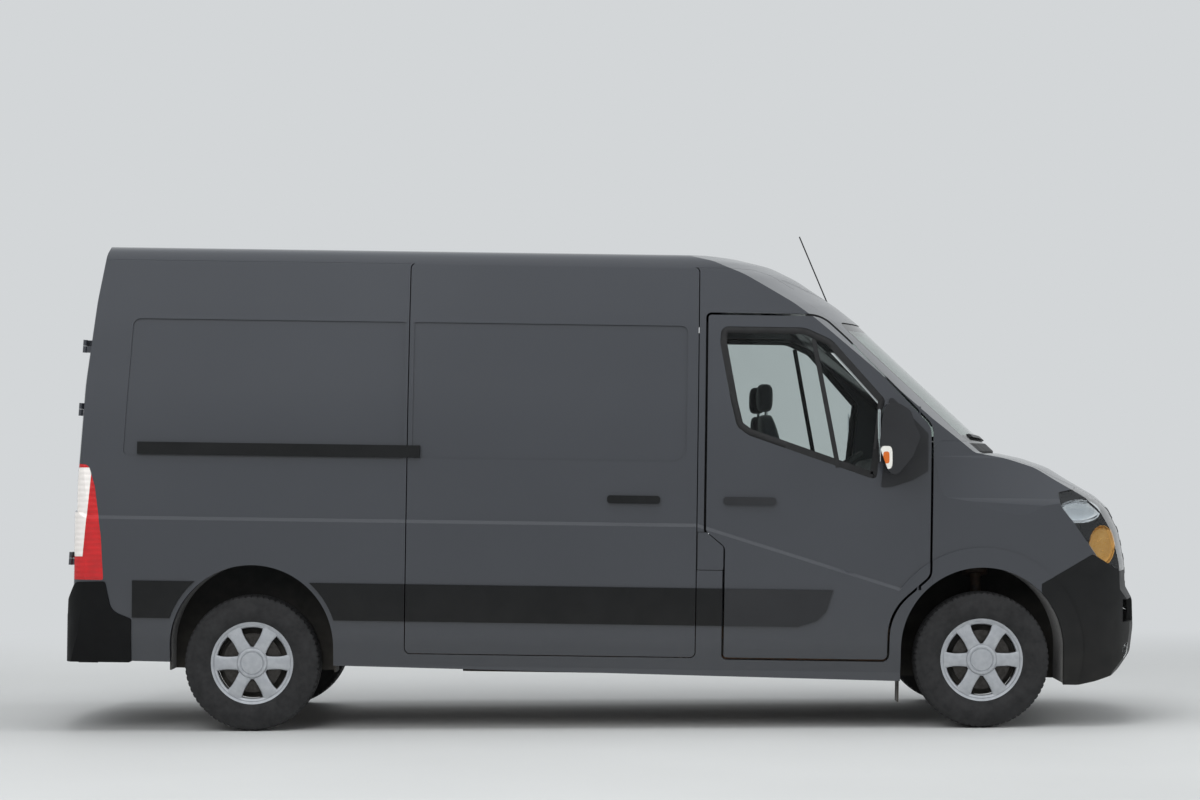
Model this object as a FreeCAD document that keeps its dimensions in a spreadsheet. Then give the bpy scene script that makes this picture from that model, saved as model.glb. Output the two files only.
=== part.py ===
import FreeCAD, Part
import math
import os

Vector = FreeCAD.Vector
Rotation = FreeCAD.Rotation
Placement = FreeCAD.Placement

# Driving sizes in millimetres, and angles in degrees.
SIZES = {
    "wheelbase": 3682,
    "front_overhang": 869,
    "rear_overhang": 1024,
    "body_height": 2500,
    "half_width": 1025,
    "body_rake": 1.08,
    "overrun": 400,
    "middle_shift": 2.44,
    "side_wall": 55,
    "nose_wall": 26,
    "panel_gap": 5,
    "door_gap": 12,
    "seat_gap": 0.3,
    "wing_gap": 12,
    "swage_depth": 11,
    "press_depth": 9,
    "bow_centre_front": 1400,
    "bow_centre_rear": 4000,
    "glass_depth": 4,
    "glass_thickness": 6,
    "floor_top": 560,
    "floor_thickness": 60,
    "arch_radius": 412,
    "front_arch_lift": 55,
    "rear_arch_lift": 85,
    "arch_flare": 100,
    "arch_liner": 8,
    "front_house_inner": 545,
    "rear_house_inner": 712,
    "skirt_level": 300,
    "strip_depth": 24,
    "tyre_radius": 343,
    "tyre_width": 215,
    "rim_radius": 203,
    "rim_width": 180,
    "rim_flange": 15,
    "rim_thickness": 9,
    "rim_lip": 5,
    "wheel_face": 16,
    "cap_rise": 6,
    "hub_depth": 30,
    "hub_length": 50,
    "brake_radius": 150,
    "brake_thickness": 25,
    "opening_low": 98,
    "opening_high": 172,
    "front_track": 1750,
    "rear_track": 1730,
    "hub_radius": 72,
    "spindle_radius": 30,
    "running_gap": 0.05,
    "upright_half": 45,
    "upright_depth": 55,
    "kingpin_radius": 28,
    "kingpin_foot_out": 792,
    "kingpin_foot_drop": 140,
    "kingpin_head_out": 625,
    "kingpin_head_rise": 620,
    "strut_radius": 27,
    "strut_hole_radius": 80,
    "coil_radius": 64,
    "coil_length": 190,
    "tower_wall": 12,
    "arm_radius": 12,
    "ball_radius": 34,
    "ball_length": 40,
    "strut_slot_half": 140,
    "strut_slot_top": 450,
    "strut_slot_width": 600,
    "beam_slot_half": 60,
    "cap_radius": 78,
    "spoke_count": 6,
    "spoke_width": 74,
    "hinge_pin_radius": 11,
    "rear_hinge_length": 66,
    "rear_hinge_along": 945,
    "rear_hinge_out": 893,
    "rear_hinge_lean": 3.0,
    "hinge_leaf": 8,
    "hinge_gap": 1.5,
    "hinge_pad": 12,
    "door_pin_radius": 7,
    "door_relief_radius": 21.5,
    "door_pin_back": 60,
    "door_pin_inset": 21,
    "door_pin_lean": 1.914,
    "door_pin_depth": 24,
    "seam_gap": 0.8,
    "pane_gap": 0.3,
    "mirror_reach": 1235,
    "aerial_radius": 3.5,
    "column_radius": 22,
    "column_length": 420,
    "column_tilt": 35,
    "steering_wheel_radius": 195,
    "steering_rim_radius": 15,
    "beam_radius": 42,
    "spring_width": 62,
    "spring_thickness": 24,
    "exhaust_radius": 27,
    "hanger_half": 12,
    "silencer_radius": 95,
    "rail_width": 80,
    "rail_height": 110,
    "rail_spread": 430,
    "bulkhead_station": 2345,
    "bulkhead_thickness": 30,
    "firewall_station": 3425,
    "firewall_thickness": 20,
    "bonnet_gap": 6,
    "scuttle_gap": 26,
    "bonnet_pin_radius": 6,
    "bonnet_pin_along": 3712,
    "bonnet_pin_level": 1434,
    "bonnet_pin_length": 22,
    "fog_radius": 40,
    "slot_count": 5,
    "flap_gap": 4,
    "flap_thickness": 12,
    "flap_pin_radius": 2.5,
    "flap_pin_inset": 6,
    "flap_pocket": 42,
    "door_clear": 45,
    "rear_bumper_step": 22,
    "wiper_width": 16,
    "bumper_end_gap": 20,
    "steering_boss_radius": 48,
    "tow_hole_radius": 10,
    "tow_hole_depth": 60,
    "tow_boss_radius": 18,
    "tow_boss_length": 100,
    "tow_boss_back": 960,
    "tow_boss_level": 318,
    "tow_web_length": 40,
    "flap_sheet": 8,
    "flap_foot": 189,
    "flap_inner": 760,
    "flap_outer": 900,
    "liner_sill_top": 470,
}

# Outlines are in shares. Along the van, -1 is the rear end, 0 the rear axle, 1 the front axle
# and 2 the front end. Heights are shares of body_height, measured up from the ground under the
# rear wheels, and half widths are shares of half_width. The third value of a corner is its
# radius as a share of body_height.
NOSE_PROFILE_SHARES = (
    (1.711, 0.120, 0.016),
    (1.918, 0.140, 0.024),
    (1.984, 0.176, 0.032),
    (2.000, 0.228, 0.100),
    (1.994, 0.284, 0.024),
    (1.953, 0.310, 0.012),
    (1.947, 0.360, 0.100),
    (1.909, 0.426, 0.100),
    (1.843, 0.471, 0.048),
    (1.763, 0.496, 0.070),
    (1.596, 0.529, 0.120),
    (1.479, 0.554, 0.100),
    (1.325, 0.572, 0.180),
    (1.166, 0.583, 0.020),
    (0.8408, 0.849, 0.100),
    (0.8121, 0.882, 0.110),
    (0.7526, 0.940, 0.180),
    (0.7170, 0.965, 0.100),
    (0.6708, 0.981, 0.160),
)
TAIL_PROFILE_SHARES = (
    (-0.684, 0.9936, 0.024),
    (-0.796, 0.9856, 0.014),
    (-0.830, 0.960, 0.044),
    (-0.874, 0.865, 0.360),
    (-0.928, 0.696, 0.600),
    (-0.960, 0.500, 0.600),
    (-0.962, 0.200, 0.040),
)
SECTION_SHARES = (
    (0.9320, 0.112, 0.0),
    (0.9385, 0.138, 0.012),
    (0.9659, 0.192, 0.120),
    (0.9756, 0.304, 0.360),
    (0.9785, 0.440, 0.600),
    (0.9610, 0.640, 1.200),
    (0.9024, 0.832, 1.000),
    (0.8371, 0.976, 0.038),
)
CROWN_SHARE = 0.991
CROWN_RADIUS_SHARE = 3.2
CROWN_MARGIN_SHARE = 0.001
PLAN_SHARES = (
    (-0.986, 0.2927, 0.0),
    (-0.882, 0.9785, 0.040),
    (0.8963, 0.9785, 0.360),
    (1.251, 0.961, 0.360),
    (1.820, 0.902, 0.132),
    (2.028, 0.468, 0.0),
)
SHOULDER_START_SHARE = 0.9278
SHOULDER_END_SHARE = 2.05
SHOULDER_TOP_SHARE = 1.06
DOOR_SECTION_SHARES = (
    (0.9800, 0.080, 0.0),
    (0.9800, 0.400, 0.0),
    (0.9790, 0.490, 0.080),
    (0.9700, 0.575, 0.040),
    (0.9400, 0.750, 0.0),
)
NOSE_SECTION_SHARES = (
    (0.9800, 0.080, 0.0),
    (0.9700, 0.400, 0.0),
    (0.9100, 0.480, 0.080),
    (0.7300, 0.575, 0.040),
    (0.6400, 0.750, 0.0),
)
SWAGE_SHARES = (
    (0.607, 0.4372),
    (0.7607, 0.3684),
)
SWAGE_RUN_SHARE = 1.85
SWAGE_SECTION_SHARES = (
    (0.9500, 0.090, 0.0),
    (0.9600, 0.138, 0.012),
    (0.9900, 0.190, 0.120),
    (0.9945, 0.4216, 0.004),
    (0.9700, 0.4372, 0.0),
)
FRONT_DOOR_SHARES = (
    (0.6195, 0.4172, 0.008),
    (0.6458, 0.3860, 0.016),
    (0.6458, 0.1632, 0.006),
    (0.8691, 0.1632, 0.010),
    (0.8699, 0.2600, 0.132),
    (0.9264, 0.3340, 0.024),
    (0.9264, 0.6340, 0.036),
    (0.8107, 0.8088, 0.100),
    (0.7768, 0.8544, 0.060),
    (0.6195, 0.8544, 0.006),
)
DOOR_WINDOW_SHARES = (
    (0.6358, 0.7980, 0.008),
    (0.6372, 0.8312, 0.016),
    (0.7523, 0.8312, 0.060),
    (0.7890, 0.8072, 0.048),
    (0.8623, 0.6880, 0.016),
    (0.8517, 0.5260, 0.008),
    (0.8381, 0.5312, 0.024),
    (0.6757, 0.6116, 0.036),
    (0.6600, 0.6280, 0.024),
    (0.6518, 0.6760, 0.060),
)
SLIDING_DOOR_SHARES = (
    (0.2099, 0.1628, 0.010),
    (0.6062, 0.1628, 0.010),
    (0.6062, 0.9504, 0.010),
    (0.2099, 0.9504, 0.010),
)
FLAP_SHARES = (
    (0.6084, 0.4145, 0.0032),
    (0.6205, 0.4145, 0.0040),
    (0.6436, 0.3860, 0.0080),
    (0.6436, 0.3396, 0.0032),
    (0.6084, 0.3396, 0.0032),
)
REAR_RECESS_SHARES = (
    (-0.645, 0.554, 0.010),
    (0.2039, 0.554, 0.004),
    (0.2039, 0.8308, 0.004),
    (-0.610, 0.8308, 0.016),
)
DOOR_RECESS_SHARES = (
    (0.2159, 0.556, 0.004),
    (0.5798, 0.556, 0.016),
    (0.5915, 0.576, 0.010),
    (0.5915, 0.8308, 0.014),
    (0.2159, 0.8308, 0.004),
)
HEADLAMP_SHARES = (
    (1.434, 0.5048, 0.004),
    (1.648, 0.5200, 0.010),
    (2.100, 0.4900, 0.010),
    (2.100, 0.3472, 0.0),
    (1.809, 0.3472, 0.004),
    (1.667, 0.3760, 0.016),
    (1.539, 0.4384, 0.024),
    (1.448, 0.4772, 0.012),
)
HEADLAMP_INNER_SHARE = 0.600
NOSE_START_SHARE = 1.6
NOSE_SPAN_SHARES = (1.0, 2.3)
TAIL_SPAN_SHARES = (-1.3, 0.0)
BUMPER_SHARES = (
    (1.340, 0.080, 0.0),
    (1.340, 0.3200, 0.0),
    (1.415, 0.3348, 0.008),
    (1.641, 0.3812, 0.008),
    (1.667, 0.3760, 0.0),
    (1.809, 0.3472, 0.004),
    (1.850, 0.3120, 0.010),
    (2.200, 0.3120, 0.0),
    (2.200, 0.080, 0.0),
)
BUMPER_CORNER_SHARES = (
    (1.800, 0.3000, 0.0),
    (1.809, 0.3472, 0.0),
    (2.200, 0.3472, 0.0),
    (2.200, 0.3000, 0.0),
)
BONNET_PLAN_SHARES = (
    (0.940, 0.830, 0.0),
    (1.390, 0.815, 0.020),
    (1.434, 0.790, 0.020),
    (1.600, 0.640, 0.040),
    (2.200, 0.560, 0.0),
)
BONNET_FRONT_SHARE = 0.474
BONNET_REAR_STATION = 1.184
COWL_TOP_SHARE = 0.602
COWL_LOW_SHARE = 0.545
WINDSCREEN_SHARES = (
    (0.845, 0.602, 0.020),
    (0.700, 0.846, 0.036),
)
REAR_DOOR_SHARES = (
    (0.842, 0.230, 0.012),
    (0.842, 0.610, 0.300),
    (0.772, 0.930, 0.024),
)
REAR_DOOR_PRESSING_SHARES = (
    (0.090, 0.585, 0.012),
    (0.755, 0.585, 0.012),
    (0.705, 0.890, 0.016),
    (0.090, 0.890, 0.016),
)
PLATE_PRESSING_SHARES = (
    (0.090, 0.300, 0.010),
    (0.740, 0.300, 0.010),
    (0.755, 0.500, 0.016),
    (0.090, 0.500, 0.016),
)
TAIL_LAMP_SHARES = (
    (-1.050, 0.3020, 0.0),
    (-0.731, 0.3020, 0.004),
    (-0.745, 0.3900, 0.060),
    (-0.780, 0.4900, 0.040),
    (-0.812, 0.5330, 0.012),
    (-1.050, 0.5430, 0.0),
)
TAIL_LAMP_INNER_SHARE = 0.866
REAR_BUMPER_SHARES = (
    (-0.592, 0.136, 0.006),
    (-0.592, 0.2240, 0.006),
    (-0.690, 0.2400, 0.030),
    (-0.722, 0.2990, 0.006),
    (-0.870, 0.2970, 0.012),
    (-0.910, 0.2620, 0.012),
    (-0.914, 0.2300, 0.004),
    (-1.100, 0.2300, 0.0),
    (-1.100, 0.1360, 0.0),
)
REAR_BUMPER_CENTRE_SHARE = 0.228
STRIP_LOW_SHARE = 0.2270
STRIP_TOP_SHARE = 0.3020
RAIL_PROUD_SHARE = 1.008

SIDE_ZONE_SHARES = (
    (-1.500, -0.400, 0.0),
    (0.9278, -0.400, 0.0),
    (0.9278, 0.592, 0.0),
    (0.9414, 0.606, 0.0),
    (1.100, 0.606, 0.0),
    (1.100, 1.300, 0.0),
    (-1.500, 1.300, 0.0),
)
ROOF_SHARES = (
    (-1.500, 0.9504, 0.0),
    (0.6953, 0.9504, 0.120),
    (0.8039, 0.8600, 0.040),
    (1.100, 0.8600, 0.0),
    (1.100, 1.300, 0.0),
    (-1.500, 1.300, 0.0),
)
HEADER_SHARES = (0.740, 0.900, 0.745, 0.800)
DOOR_INNER_SHARE = 0.752
LOWER_EDGE_SHARES = (
    (-1.500, 0.136, 0.0),
    (-0.593, 0.139, 0.0),
    (0.123, 0.135, 0.0),
    (0.884, 0.120, 0.0),
    (1.566, 0.117, 0.0),
    (1.664, 0.1244, 0.0),
    (1.824, 0.142, 0.0),
    (1.908, 0.157, 0.0),
    (2.300, 0.170, 0.0),
    (2.300, -0.400, 0.0),
    (-1.500, -0.400, 0.0),
)
REAR_HINGE_SHARES = (0.330, 0.632, 0.760)
HINGE_REACH_SHARE = -0.70
INTAKE_SHARES = ((0.440, 0.180), (0.440, 0.258))
SIDE_INTAKE_SHARES = ((0.560, 0.2424), (0.820, 0.2888))
FOG_LAMP_SHARES = (0.780, 0.184)
GRILLE_SHARES = (0.320, 0.462)
SLIDING_HANDLE_SHARES = (
    (0.4837, 0.4708, 0.006),
    (0.5562, 0.4708, 0.006),
    (0.5562, 0.4868, 0.006),
    (0.4837, 0.4868, 0.006),
)
FRONT_HANDLE_SHARES = (
    (0.6429, 0.4712, 0.006),
    (0.7146, 0.4712, 0.006),
    (0.7146, 0.4868, 0.006),
    (0.6429, 0.4868, 0.006),
)
DOOR_STRIP_SHARES = (
    (0.6458, 0.2270, 0.0),
    (0.7467, 0.2270, 0.0),
    (0.7727, 0.2396, 0.012),
    (0.7854, 0.2592, 0.012),
    (0.7941, 0.3020, 0.0),
    (0.6458, 0.3020, 0.0),
)
SAIL_SHARES = (
    (0.8582, 0.5100, 0.004),
    (0.8738, 0.5120, 0.010),
    (0.9012, 0.5256, 0.010),
    (0.9220, 0.5440, 0.006),
    (0.9220, 0.6200, 0.006),
    (0.8682, 0.6980, 0.006),
)
MIRROR_SHARES = (
    (0.8504, 0.5920, 0.060),
    (0.8636, 0.5412, 0.016),
    (0.8750, 0.5360, 0.016),
    (0.8955, 0.5744, 0.020),
    (0.9058, 0.6136, 0.010),
    (0.8976, 0.6370, 0.016),
    (0.8922, 0.6644, 0.020),
    (0.8740, 0.6810, 0.030),
    (0.8582, 0.6770, 0.016),
    (0.8536, 0.6492, 0.060),
)
MIRROR_ARM_SHARES = ((0.8722, 0.5560), (0.8912, 0.5900))
MIRROR_INNER_SHARE = 1.032
BULKHEAD_SHARES = (
    (0.890, 0.2242, 0.0),
    (0.890, 0.440, 0.100),
    (0.800, 0.810, 0.040),
    (0.740, 0.9400, 0.040),
)
DASH_SHARES = (
    (0.9300, 0.345, 0.0),
    (0.8800, 0.300, 0.020),
    (0.8640, 0.440, 0.060),
    (0.8420, 0.520, 0.024),
    (0.8620, 0.560, 0.020),
    (0.9000, 0.572, 0.0),
    (0.9640, 0.572, 0.0),
    (0.9640, 0.550, 0.0),
    (0.9300, 0.550, 0.0),
)
SEAT_SPAN_SHARES = ((-0.730, -0.230), (0.230, 0.730))
SEAT_BASE_SHARES = (
    (0.7440, 0.2242, 0.0),
    (0.8340, 0.2242, 0.0),
    (0.8340, 0.3440, 0.010),
    (0.7440, 0.3440, 0.010),
)
CUSHION_SHARES = (
    (0.7260, 0.3442, 0.012),
    (0.8540, 0.3442, 0.020),
    (0.8560, 0.4040, 0.020),
    (0.7320, 0.3900, 0.012),
)
BACKREST_SHARES = (
    (0.7200, 0.3899, 0.016),
    (0.7500, 0.3914, 0.012),
    (0.7190, 0.6560, 0.020),
    (0.6910, 0.6560, 0.020),
)
HEADREST_SHARES = (
    (0.6910, 0.65612, 0.008),
    (0.7140, 0.65612, 0.008),
    (0.7120, 0.7200, 0.012),
    (0.6900, 0.7200, 0.012),
)
STEERING_SHARES = (0.8148, 0.468, 0.532)
CROSS_MEMBER_SHARES = (-0.600, 0.260, 0.560)
CROSS_MEMBER_DROP_SHARE = 0.25
LINER_SILL_SHARE = 0.955
RAIL_END_SHARES = (-0.88, 1.30)
TYRE_SHARES = (
    (-0.72, 0.0, 0.0),
    (-1.00, 0.45, 0.0),
    (-0.94, 0.84, 0.0),
    (-0.80, 1.00, 0.0),
    (0.80, 1.00, 0.0),
    (0.94, 0.84, 0.0),
    (1.00, 0.45, 0.0),
    (0.72, 0.0, 0.0),
)
SPRING_SHARES = (
    (-0.640, 0.190, 0.0),
    (-0.600, 0.174, 0.040),
    (0.000, 0.1497, 0.900),
    (0.165, 0.174, 0.040),
    (0.180, 0.190, 0.0),
    (0.176, 0.19988, 0.0),
    (0.162, 0.1840, 0.040),
    (0.000, 0.1595, 0.900),
    (-0.580, 0.1840, 0.040),
    (-0.630, 0.19988, 0.0),
)
TANK_SHARES = ((0.400, 0.480, 0.118), (0.600, 0.820, 0.19988))
ENGINE_SHARES = ((0.975, -0.320, 0.156), (1.560, 0.300, 0.420))
SUBFRAME_SHARES = ((0.935, 0.456, 0.120), (1.250, 0.456, 0.1557))
ARM_ROOT_SHARES = (0.400, 0.1252)
ARM_DEPTH_SHARE = 0.68
EXHAUST_ROUTE_SHARES = (
    (0.930, 0.145),
    (0.160, 0.145),
    (0.070, 0.178),
    (-0.260, 0.178),
    (-0.420, 0.145),
    (-0.895, 0.145),
)
EXHAUST_BEND_SHARE = 0.060
EXHAUST_SIDE_SHARE = -0.200
SILENCER_SHARES = (0.280, 0.540)
RAIL_OUTLINE_SHARES = (
    (-0.573, 0.557, 0.0),
    (0.2268, 0.557, 0.0),
    (0.2268, 0.5816, 0.0),
    (-0.573, 0.5816, 0.0),
)
PIN_END_SHARES = (-0.070, 1.070)
DOOR_RELIEF_SHARES = (-0.099, -0.064)
SLOT_WIDTH_SHARE = 0.93
SLOT_SHARE = 0.60
WIPER_BAND_SHARES = (((-0.650, 0.6180), (-0.030, 0.6100)), ((0.060, 0.6180), (0.680, 0.6100)))
MIRROR_FOOT_SHARE = 0.90
DASH_WIDTH_SHARE = 0.855
SEAT_EDGE_SHARE = 0.12
HEADREST_EDGE_SHARE = 0.22
STEERING_SPOKE_TURNS = (0, 180, 270)
OPENING_CORNER_SHARE = 0.50
ROUNDING_SHARE = 0.495
ANGLE_TOLERANCE = 1e-4
LENGTH_TOLERANCE = 1e-6
SPRING_PLACE_SHARE = 0.540
AERIAL_SHARES = ((0.7988, 0.8924), (0.7556, 1.0380))

PLANES = {
    "XY": Rotation(),
    "XZ": Rotation(Vector(1, 0, 0), 90),
    "YZ": Rotation(Vector(1, 1, 1), 120),
}
NORMALS = {"XY": Vector(0, 0, 1), "XZ": Vector(0, 1, 0), "YZ": Vector(1, 0, 0)}

doc = FreeCAD.newDocument("PanelVan")
sheet = doc.addObject("Spreadsheet::Sheet", "Sizes")
nodes = []


def fill_sheet():
    """Write every driving size to the sheet, each under its own alias."""
    for row, (name, value) in enumerate(SIZES.items(), 1):
        sheet.set("A%d" % row, name)
        sheet.set("B%d" % row, str(value))
        sheet.setAlias("B%d" % row, name)
    doc.recompute()


def size(name):
    """Value of a driving size, read from the sheet."""
    return float(sheet.get(name))


def along(share):
    """Distance ahead of the rear axle for a station along the van."""
    if share < 0:
        return share * size("rear_overhang")
    if share <= 1:
        return share * size("wheelbase")
    return size("wheelbase") + (share - 1) * size("front_overhang")


def up(share):
    """Height above the ground under the rear wheels."""
    return share * size("body_height")


def across(share):
    """Distance from the middle plane."""
    return share * size("half_width")


def side_corners(shares):
    """Corners of an outline seen from the side, in millimetres."""
    return [(along(c[0]), up(c[1]), up(c[2])) for c in shares]


def front_corners(shares):
    """Corners of an outline seen from the front, in millimetres."""
    return [(across(c[0]), up(c[1]), up(c[2])) for c in shares]


def plan_corners(shares):
    """Corners of an outline seen from above, in millimetres."""
    return [(along(c[0]), across(c[1]), up(c[2])) for c in shares]


def mirrored(corners, axis):
    """Corners followed by their mirror images, so that the outline closes on itself."""
    if axis == "first":
        return corners + [(-a, b, r) for a, b, r in reversed(corners)]
    return corners + [(a, -b, r) for a, b, r in reversed(corners)]


def signed_area(corners):
    """Twice the area inside the corners, positive where they run anticlockwise."""
    total = 0
    for (a, b, _), (c, d, _) in zip(corners, corners[1:] + corners[:1]):
        total += a * d - b * c
    return total


def inset(corners, depth):
    """Outline moved inwards by depth, or outwards where depth is negative."""
    turn = 1 if signed_area(corners) > 0 else -1
    count = len(corners)
    lines = []
    for i in range(count):
        a, b, _ = corners[i]
        c, d, _ = corners[(i + 1) % count]
        length = math.hypot(c - a, d - b)
        ux, uy = (c - a) / length, (d - b) / length
        nx, ny = -uy * turn, ux * turn
        lines.append((a + nx * depth, b + ny * depth, ux, uy))
    moved = []
    for i in range(count):
        px, py, ux, uy = lines[i - 1]
        qx, qy, vx, vy = lines[i]
        cross = ux * vy - uy * vx
        reach = ((qx - px) * vy - (qy - py) * vx) / cross
        radius = corners[i][2]
        if radius > 0:
            radius = max(radius - depth * (1 if cross * turn > 0 else -1), 0)
        moved.append((px + ux * reach, py + uy * reach, radius))
    return moved


def outline_edges(corners):
    """Lines and tangent arcs through the corners, each corner rounded by its radius."""
    count = len(corners)
    trimmed = []
    for i in range(count):
        before, here, after = corners[i - 1], corners[i], corners[(i + 1) % count]
        p = Vector(here[0], here[1], 0)
        back = Vector(before[0], before[1], 0) - p
        ahead = Vector(after[0], after[1], 0) - p
        turn = back.getAngle(ahead)
        if here[2] <= 0 or abs(math.pi - turn) < ANGLE_TOLERANCE:
            trimmed.append((p, None, p))
            continue
        cut = here[2] / math.tan(turn / 2)
        room = min(back.Length, ahead.Length) * ROUNDING_SHARE
        cut = min(cut, room)
        back.normalize()
        ahead.normalize()
        start, end = p + back * cut, p + ahead * cut
        radius = cut * math.tan(turn / 2)
        middle = (back + ahead).normalize()
        centre = p + middle * (radius / math.sin(turn / 2))
        trimmed.append((start, centre - middle * radius, end))
    edges = []
    for i in range(count):
        start, middle, end = trimmed[i]
        if middle is not None:
            edges.append(Part.Arc(start, middle, end))
        following = trimmed[(i + 1) % count][0]
        if (following - end).Length > LENGTH_TOLERANCE:
            edges.append(Part.LineSegment(end, following))
    return edges


def bind(item, prop, expression):
    """Tie a property to the sheet."""
    item.setExpression(prop, expression)


def sketch(name, plane, corners):
    """Closed outline drawn on one of the main planes."""
    item = doc.addObject("Sketcher::SketchObject", name + "_outline")
    item.Placement = Placement(Vector(), PLANES[plane])
    for edge in outline_edges(corners):
        item.addGeometry(edge, False)
    return item


def prism(name, plane, corners, ahead, behind):
    """Solid swept from an outline, between two distances along its plane's normal."""
    item = doc.addObject("Part::Extrusion", name)
    item.Base = sketch(name, plane, corners)
    item.DirMode = "Custom"
    item.Dir = NORMALS[plane]
    item.Solid = True
    bind(item, "LengthFwd", ahead)
    bind(item, "LengthRev", behind)
    return item


def turned(name, corners, centre):
    """Solid of revolution of a side outline about an upright axis at a distance along."""
    item = doc.addObject("Part::Revolution", name)
    item.Source = sketch(name, "XZ", corners)
    item.Axis = Vector(0, 0, 1)
    item.Base = Vector(centre, 0, 0)
    item.Angle = 360
    item.Solid = True
    return item


def box(name, low, high):
    """Block between two opposite corners."""
    item = doc.addObject("Part::Box", name)
    item.Length = high[0] - low[0]
    item.Width = high[1] - low[1]
    item.Height = high[2] - low[2]
    item.Placement = Placement(Vector(*low), Rotation())
    return item


def rod(name, start, end, radius):
    """Round bar between two points, its radius tied to a size of the sheet."""
    item = doc.addObject("Part::Cylinder", name)
    run = Vector(*end) - Vector(*start)
    item.Height = run.Length
    bind(item, "Radius", radius)
    item.Placement = Placement(Vector(*start), Rotation(Vector(0, 0, 1), run))
    return item


def cut(name, base, *tools):
    """Base with every tool taken away."""
    item = doc.addObject("Part::Cut", name)
    item.Base = base
    item.Tool = tools[0] if len(tools) == 1 else fuse(name + "_tools", *tools)
    return item


def fuse(name, *parts):
    """Parts joined to one."""
    item = doc.addObject("Part::MultiFuse", name)
    item.Shapes = list(parts)
    return item


def common(name, first, *others):
    """Space shared by all the parts."""
    for index, other in enumerate(others):
        item = doc.addObject("Part::Common", "%s_%d" % (name, index))
        item.Base = first
        item.Tool = other
        first = item
    return first


def mirror(name, source):
    """Mirror image across the middle plane."""
    item = doc.addObject("Part::Mirroring", name)
    item.Source = source
    item.Normal = Vector(0, 1, 0)
    return item


def rear_axle_station():
    """Place of the rear axle when the origin is under the middle of the van."""
    level = (size("rear_overhang") - size("wheelbase") - size("front_overhang")) / 2
    return level + size("middle_shift")


def body_placement():
    """Place of what the body carries: level in its own frame, pitched about the rear axle."""
    pivot = Vector(0, 0, size("tyre_radius"))
    turn = Rotation(Vector(0, 1, 0), size("body_rake"))
    return Placement(Vector(rear_axle_station(), 0, 0), turn, pivot)


def ground_placement(on_front):
    """Place of what an axle carries, with the ground level."""
    ahead = size("wheelbase") if on_front else 0
    return Placement(Vector(rear_axle_station() + ahead, 0, 0), Rotation())


def node(name, item, place=None):
    """Name a finished sub-part, place it and keep it for writing."""
    item.Label = name
    if place is not None:
        item.Placement = place.multiply(item.Placement)
    nodes.append(item)
    return item


def body_node(name, item):
    """Sub-part that the body carries."""
    return node(name, item, body_placement())


def body_pair(name, item):
    """Right-hand sub-part and its mirror image on the left."""
    right = body_node(name + "_right", item)
    node(name + "_left", mirror(name + "_mirror", right))


def both_sides(name, item):
    """One sub-part made of a right-hand piece and its mirror image."""
    return fuse(name + "_pair", item, mirror(name + "_image", item))


ALL = "Sizes.half_width + Sizes.overrun"
REAR = "Sizes.rear_overhang + Sizes.overrun"
LONG = "Sizes.wheelbase + Sizes.front_overhang + Sizes.overrun"
TALL = "Sizes.body_height + Sizes.overrun"


def closed_section(corners, depth, floor_level, top):
    """Cross-section outline, both halves, moved inwards and run down to a level."""
    ring = mirrored_section(corners, top)
    ring = inset(ring, depth)
    last = len(ring) - 1
    return [(a, floor_level if i in (0, last) else b, r) for i, (a, b, r) in enumerate(ring)]


def mirrored_section(corners, top):
    """Right and left halves of a cross-section, joined by its corner on the middle plane."""
    left = [(-a, b, r) for a, b, r in reversed(corners)]
    return corners + [top] + left


def low_level():
    """Level under everything that the body outlines bound."""
    return -size("overrun") / 2


def run_section(name, depth):
    """Cross-section of the body run along the van."""
    top = (0, up(CROWN_SHARE), up(CROWN_RADIUS_SHARE))
    ring = closed_section(front_corners(SECTION_SHARES), depth, low_level(), top)
    return prism(name, "YZ", ring, LONG, "Sizes.rear_overhang + Sizes.overrun")


def turned_nose(name, depth):
    """Nose, windscreen and roof front turned about an upright axis, with the rest behind it."""
    centre = size("bow_centre_front")
    level = up(CROWN_SHARE + CROWN_MARGIN_SHARE)
    corners = [(centre, low_level(), 0), (along(NOSE_PROFILE_SHARES[0][0]), low_level(), 0)]
    corners += side_corners(NOSE_PROFILE_SHARES)[1:] + [(centre, level, 0)]
    corners = inset(corners, depth)
    corners[0] = (centre, low_level(), 0)
    corners[1] = (corners[1][0], low_level(), 0)
    corners[-1] = (centre, corners[-1][1], 0)
    front = turned(name + "_turned", corners, centre)
    reach = size("rear_overhang") + size("overrun")
    wide = size("half_width") + size("overrun")
    rest = box(name + "_rest", (-reach, -wide, low_level()), (centre, wide, corners[-1][1]))
    return fuse(name, front, rest)


def turned_tail(name, depth):
    """Rear end turned about an upright axis far ahead of it."""
    centre = size("bow_centre_rear")
    level = up(TAIL_PROFILE_SHARES[0][1])
    corners = [(centre, level, 0)] + side_corners(TAIL_PROFILE_SHARES)
    corners += [(along(TAIL_PROFILE_SHARES[-1][0]), low_level(), 0), (centre, low_level(), 0)]
    corners = inset(corners, depth)
    corners[0] = (centre, corners[0][1], 0)
    corners[-1] = (centre, low_level(), 0)
    corners[-2] = (corners[-2][0], low_level(), 0)
    return turned(name, corners, centre)


def rising_plan(name, depth):
    """Plan of the body run upwards."""
    corners = inset(mirrored(plan_corners(PLAN_SHARES), "second"), depth)
    return prism(name, "XY", corners, TALL, "Sizes.overrun")


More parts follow.
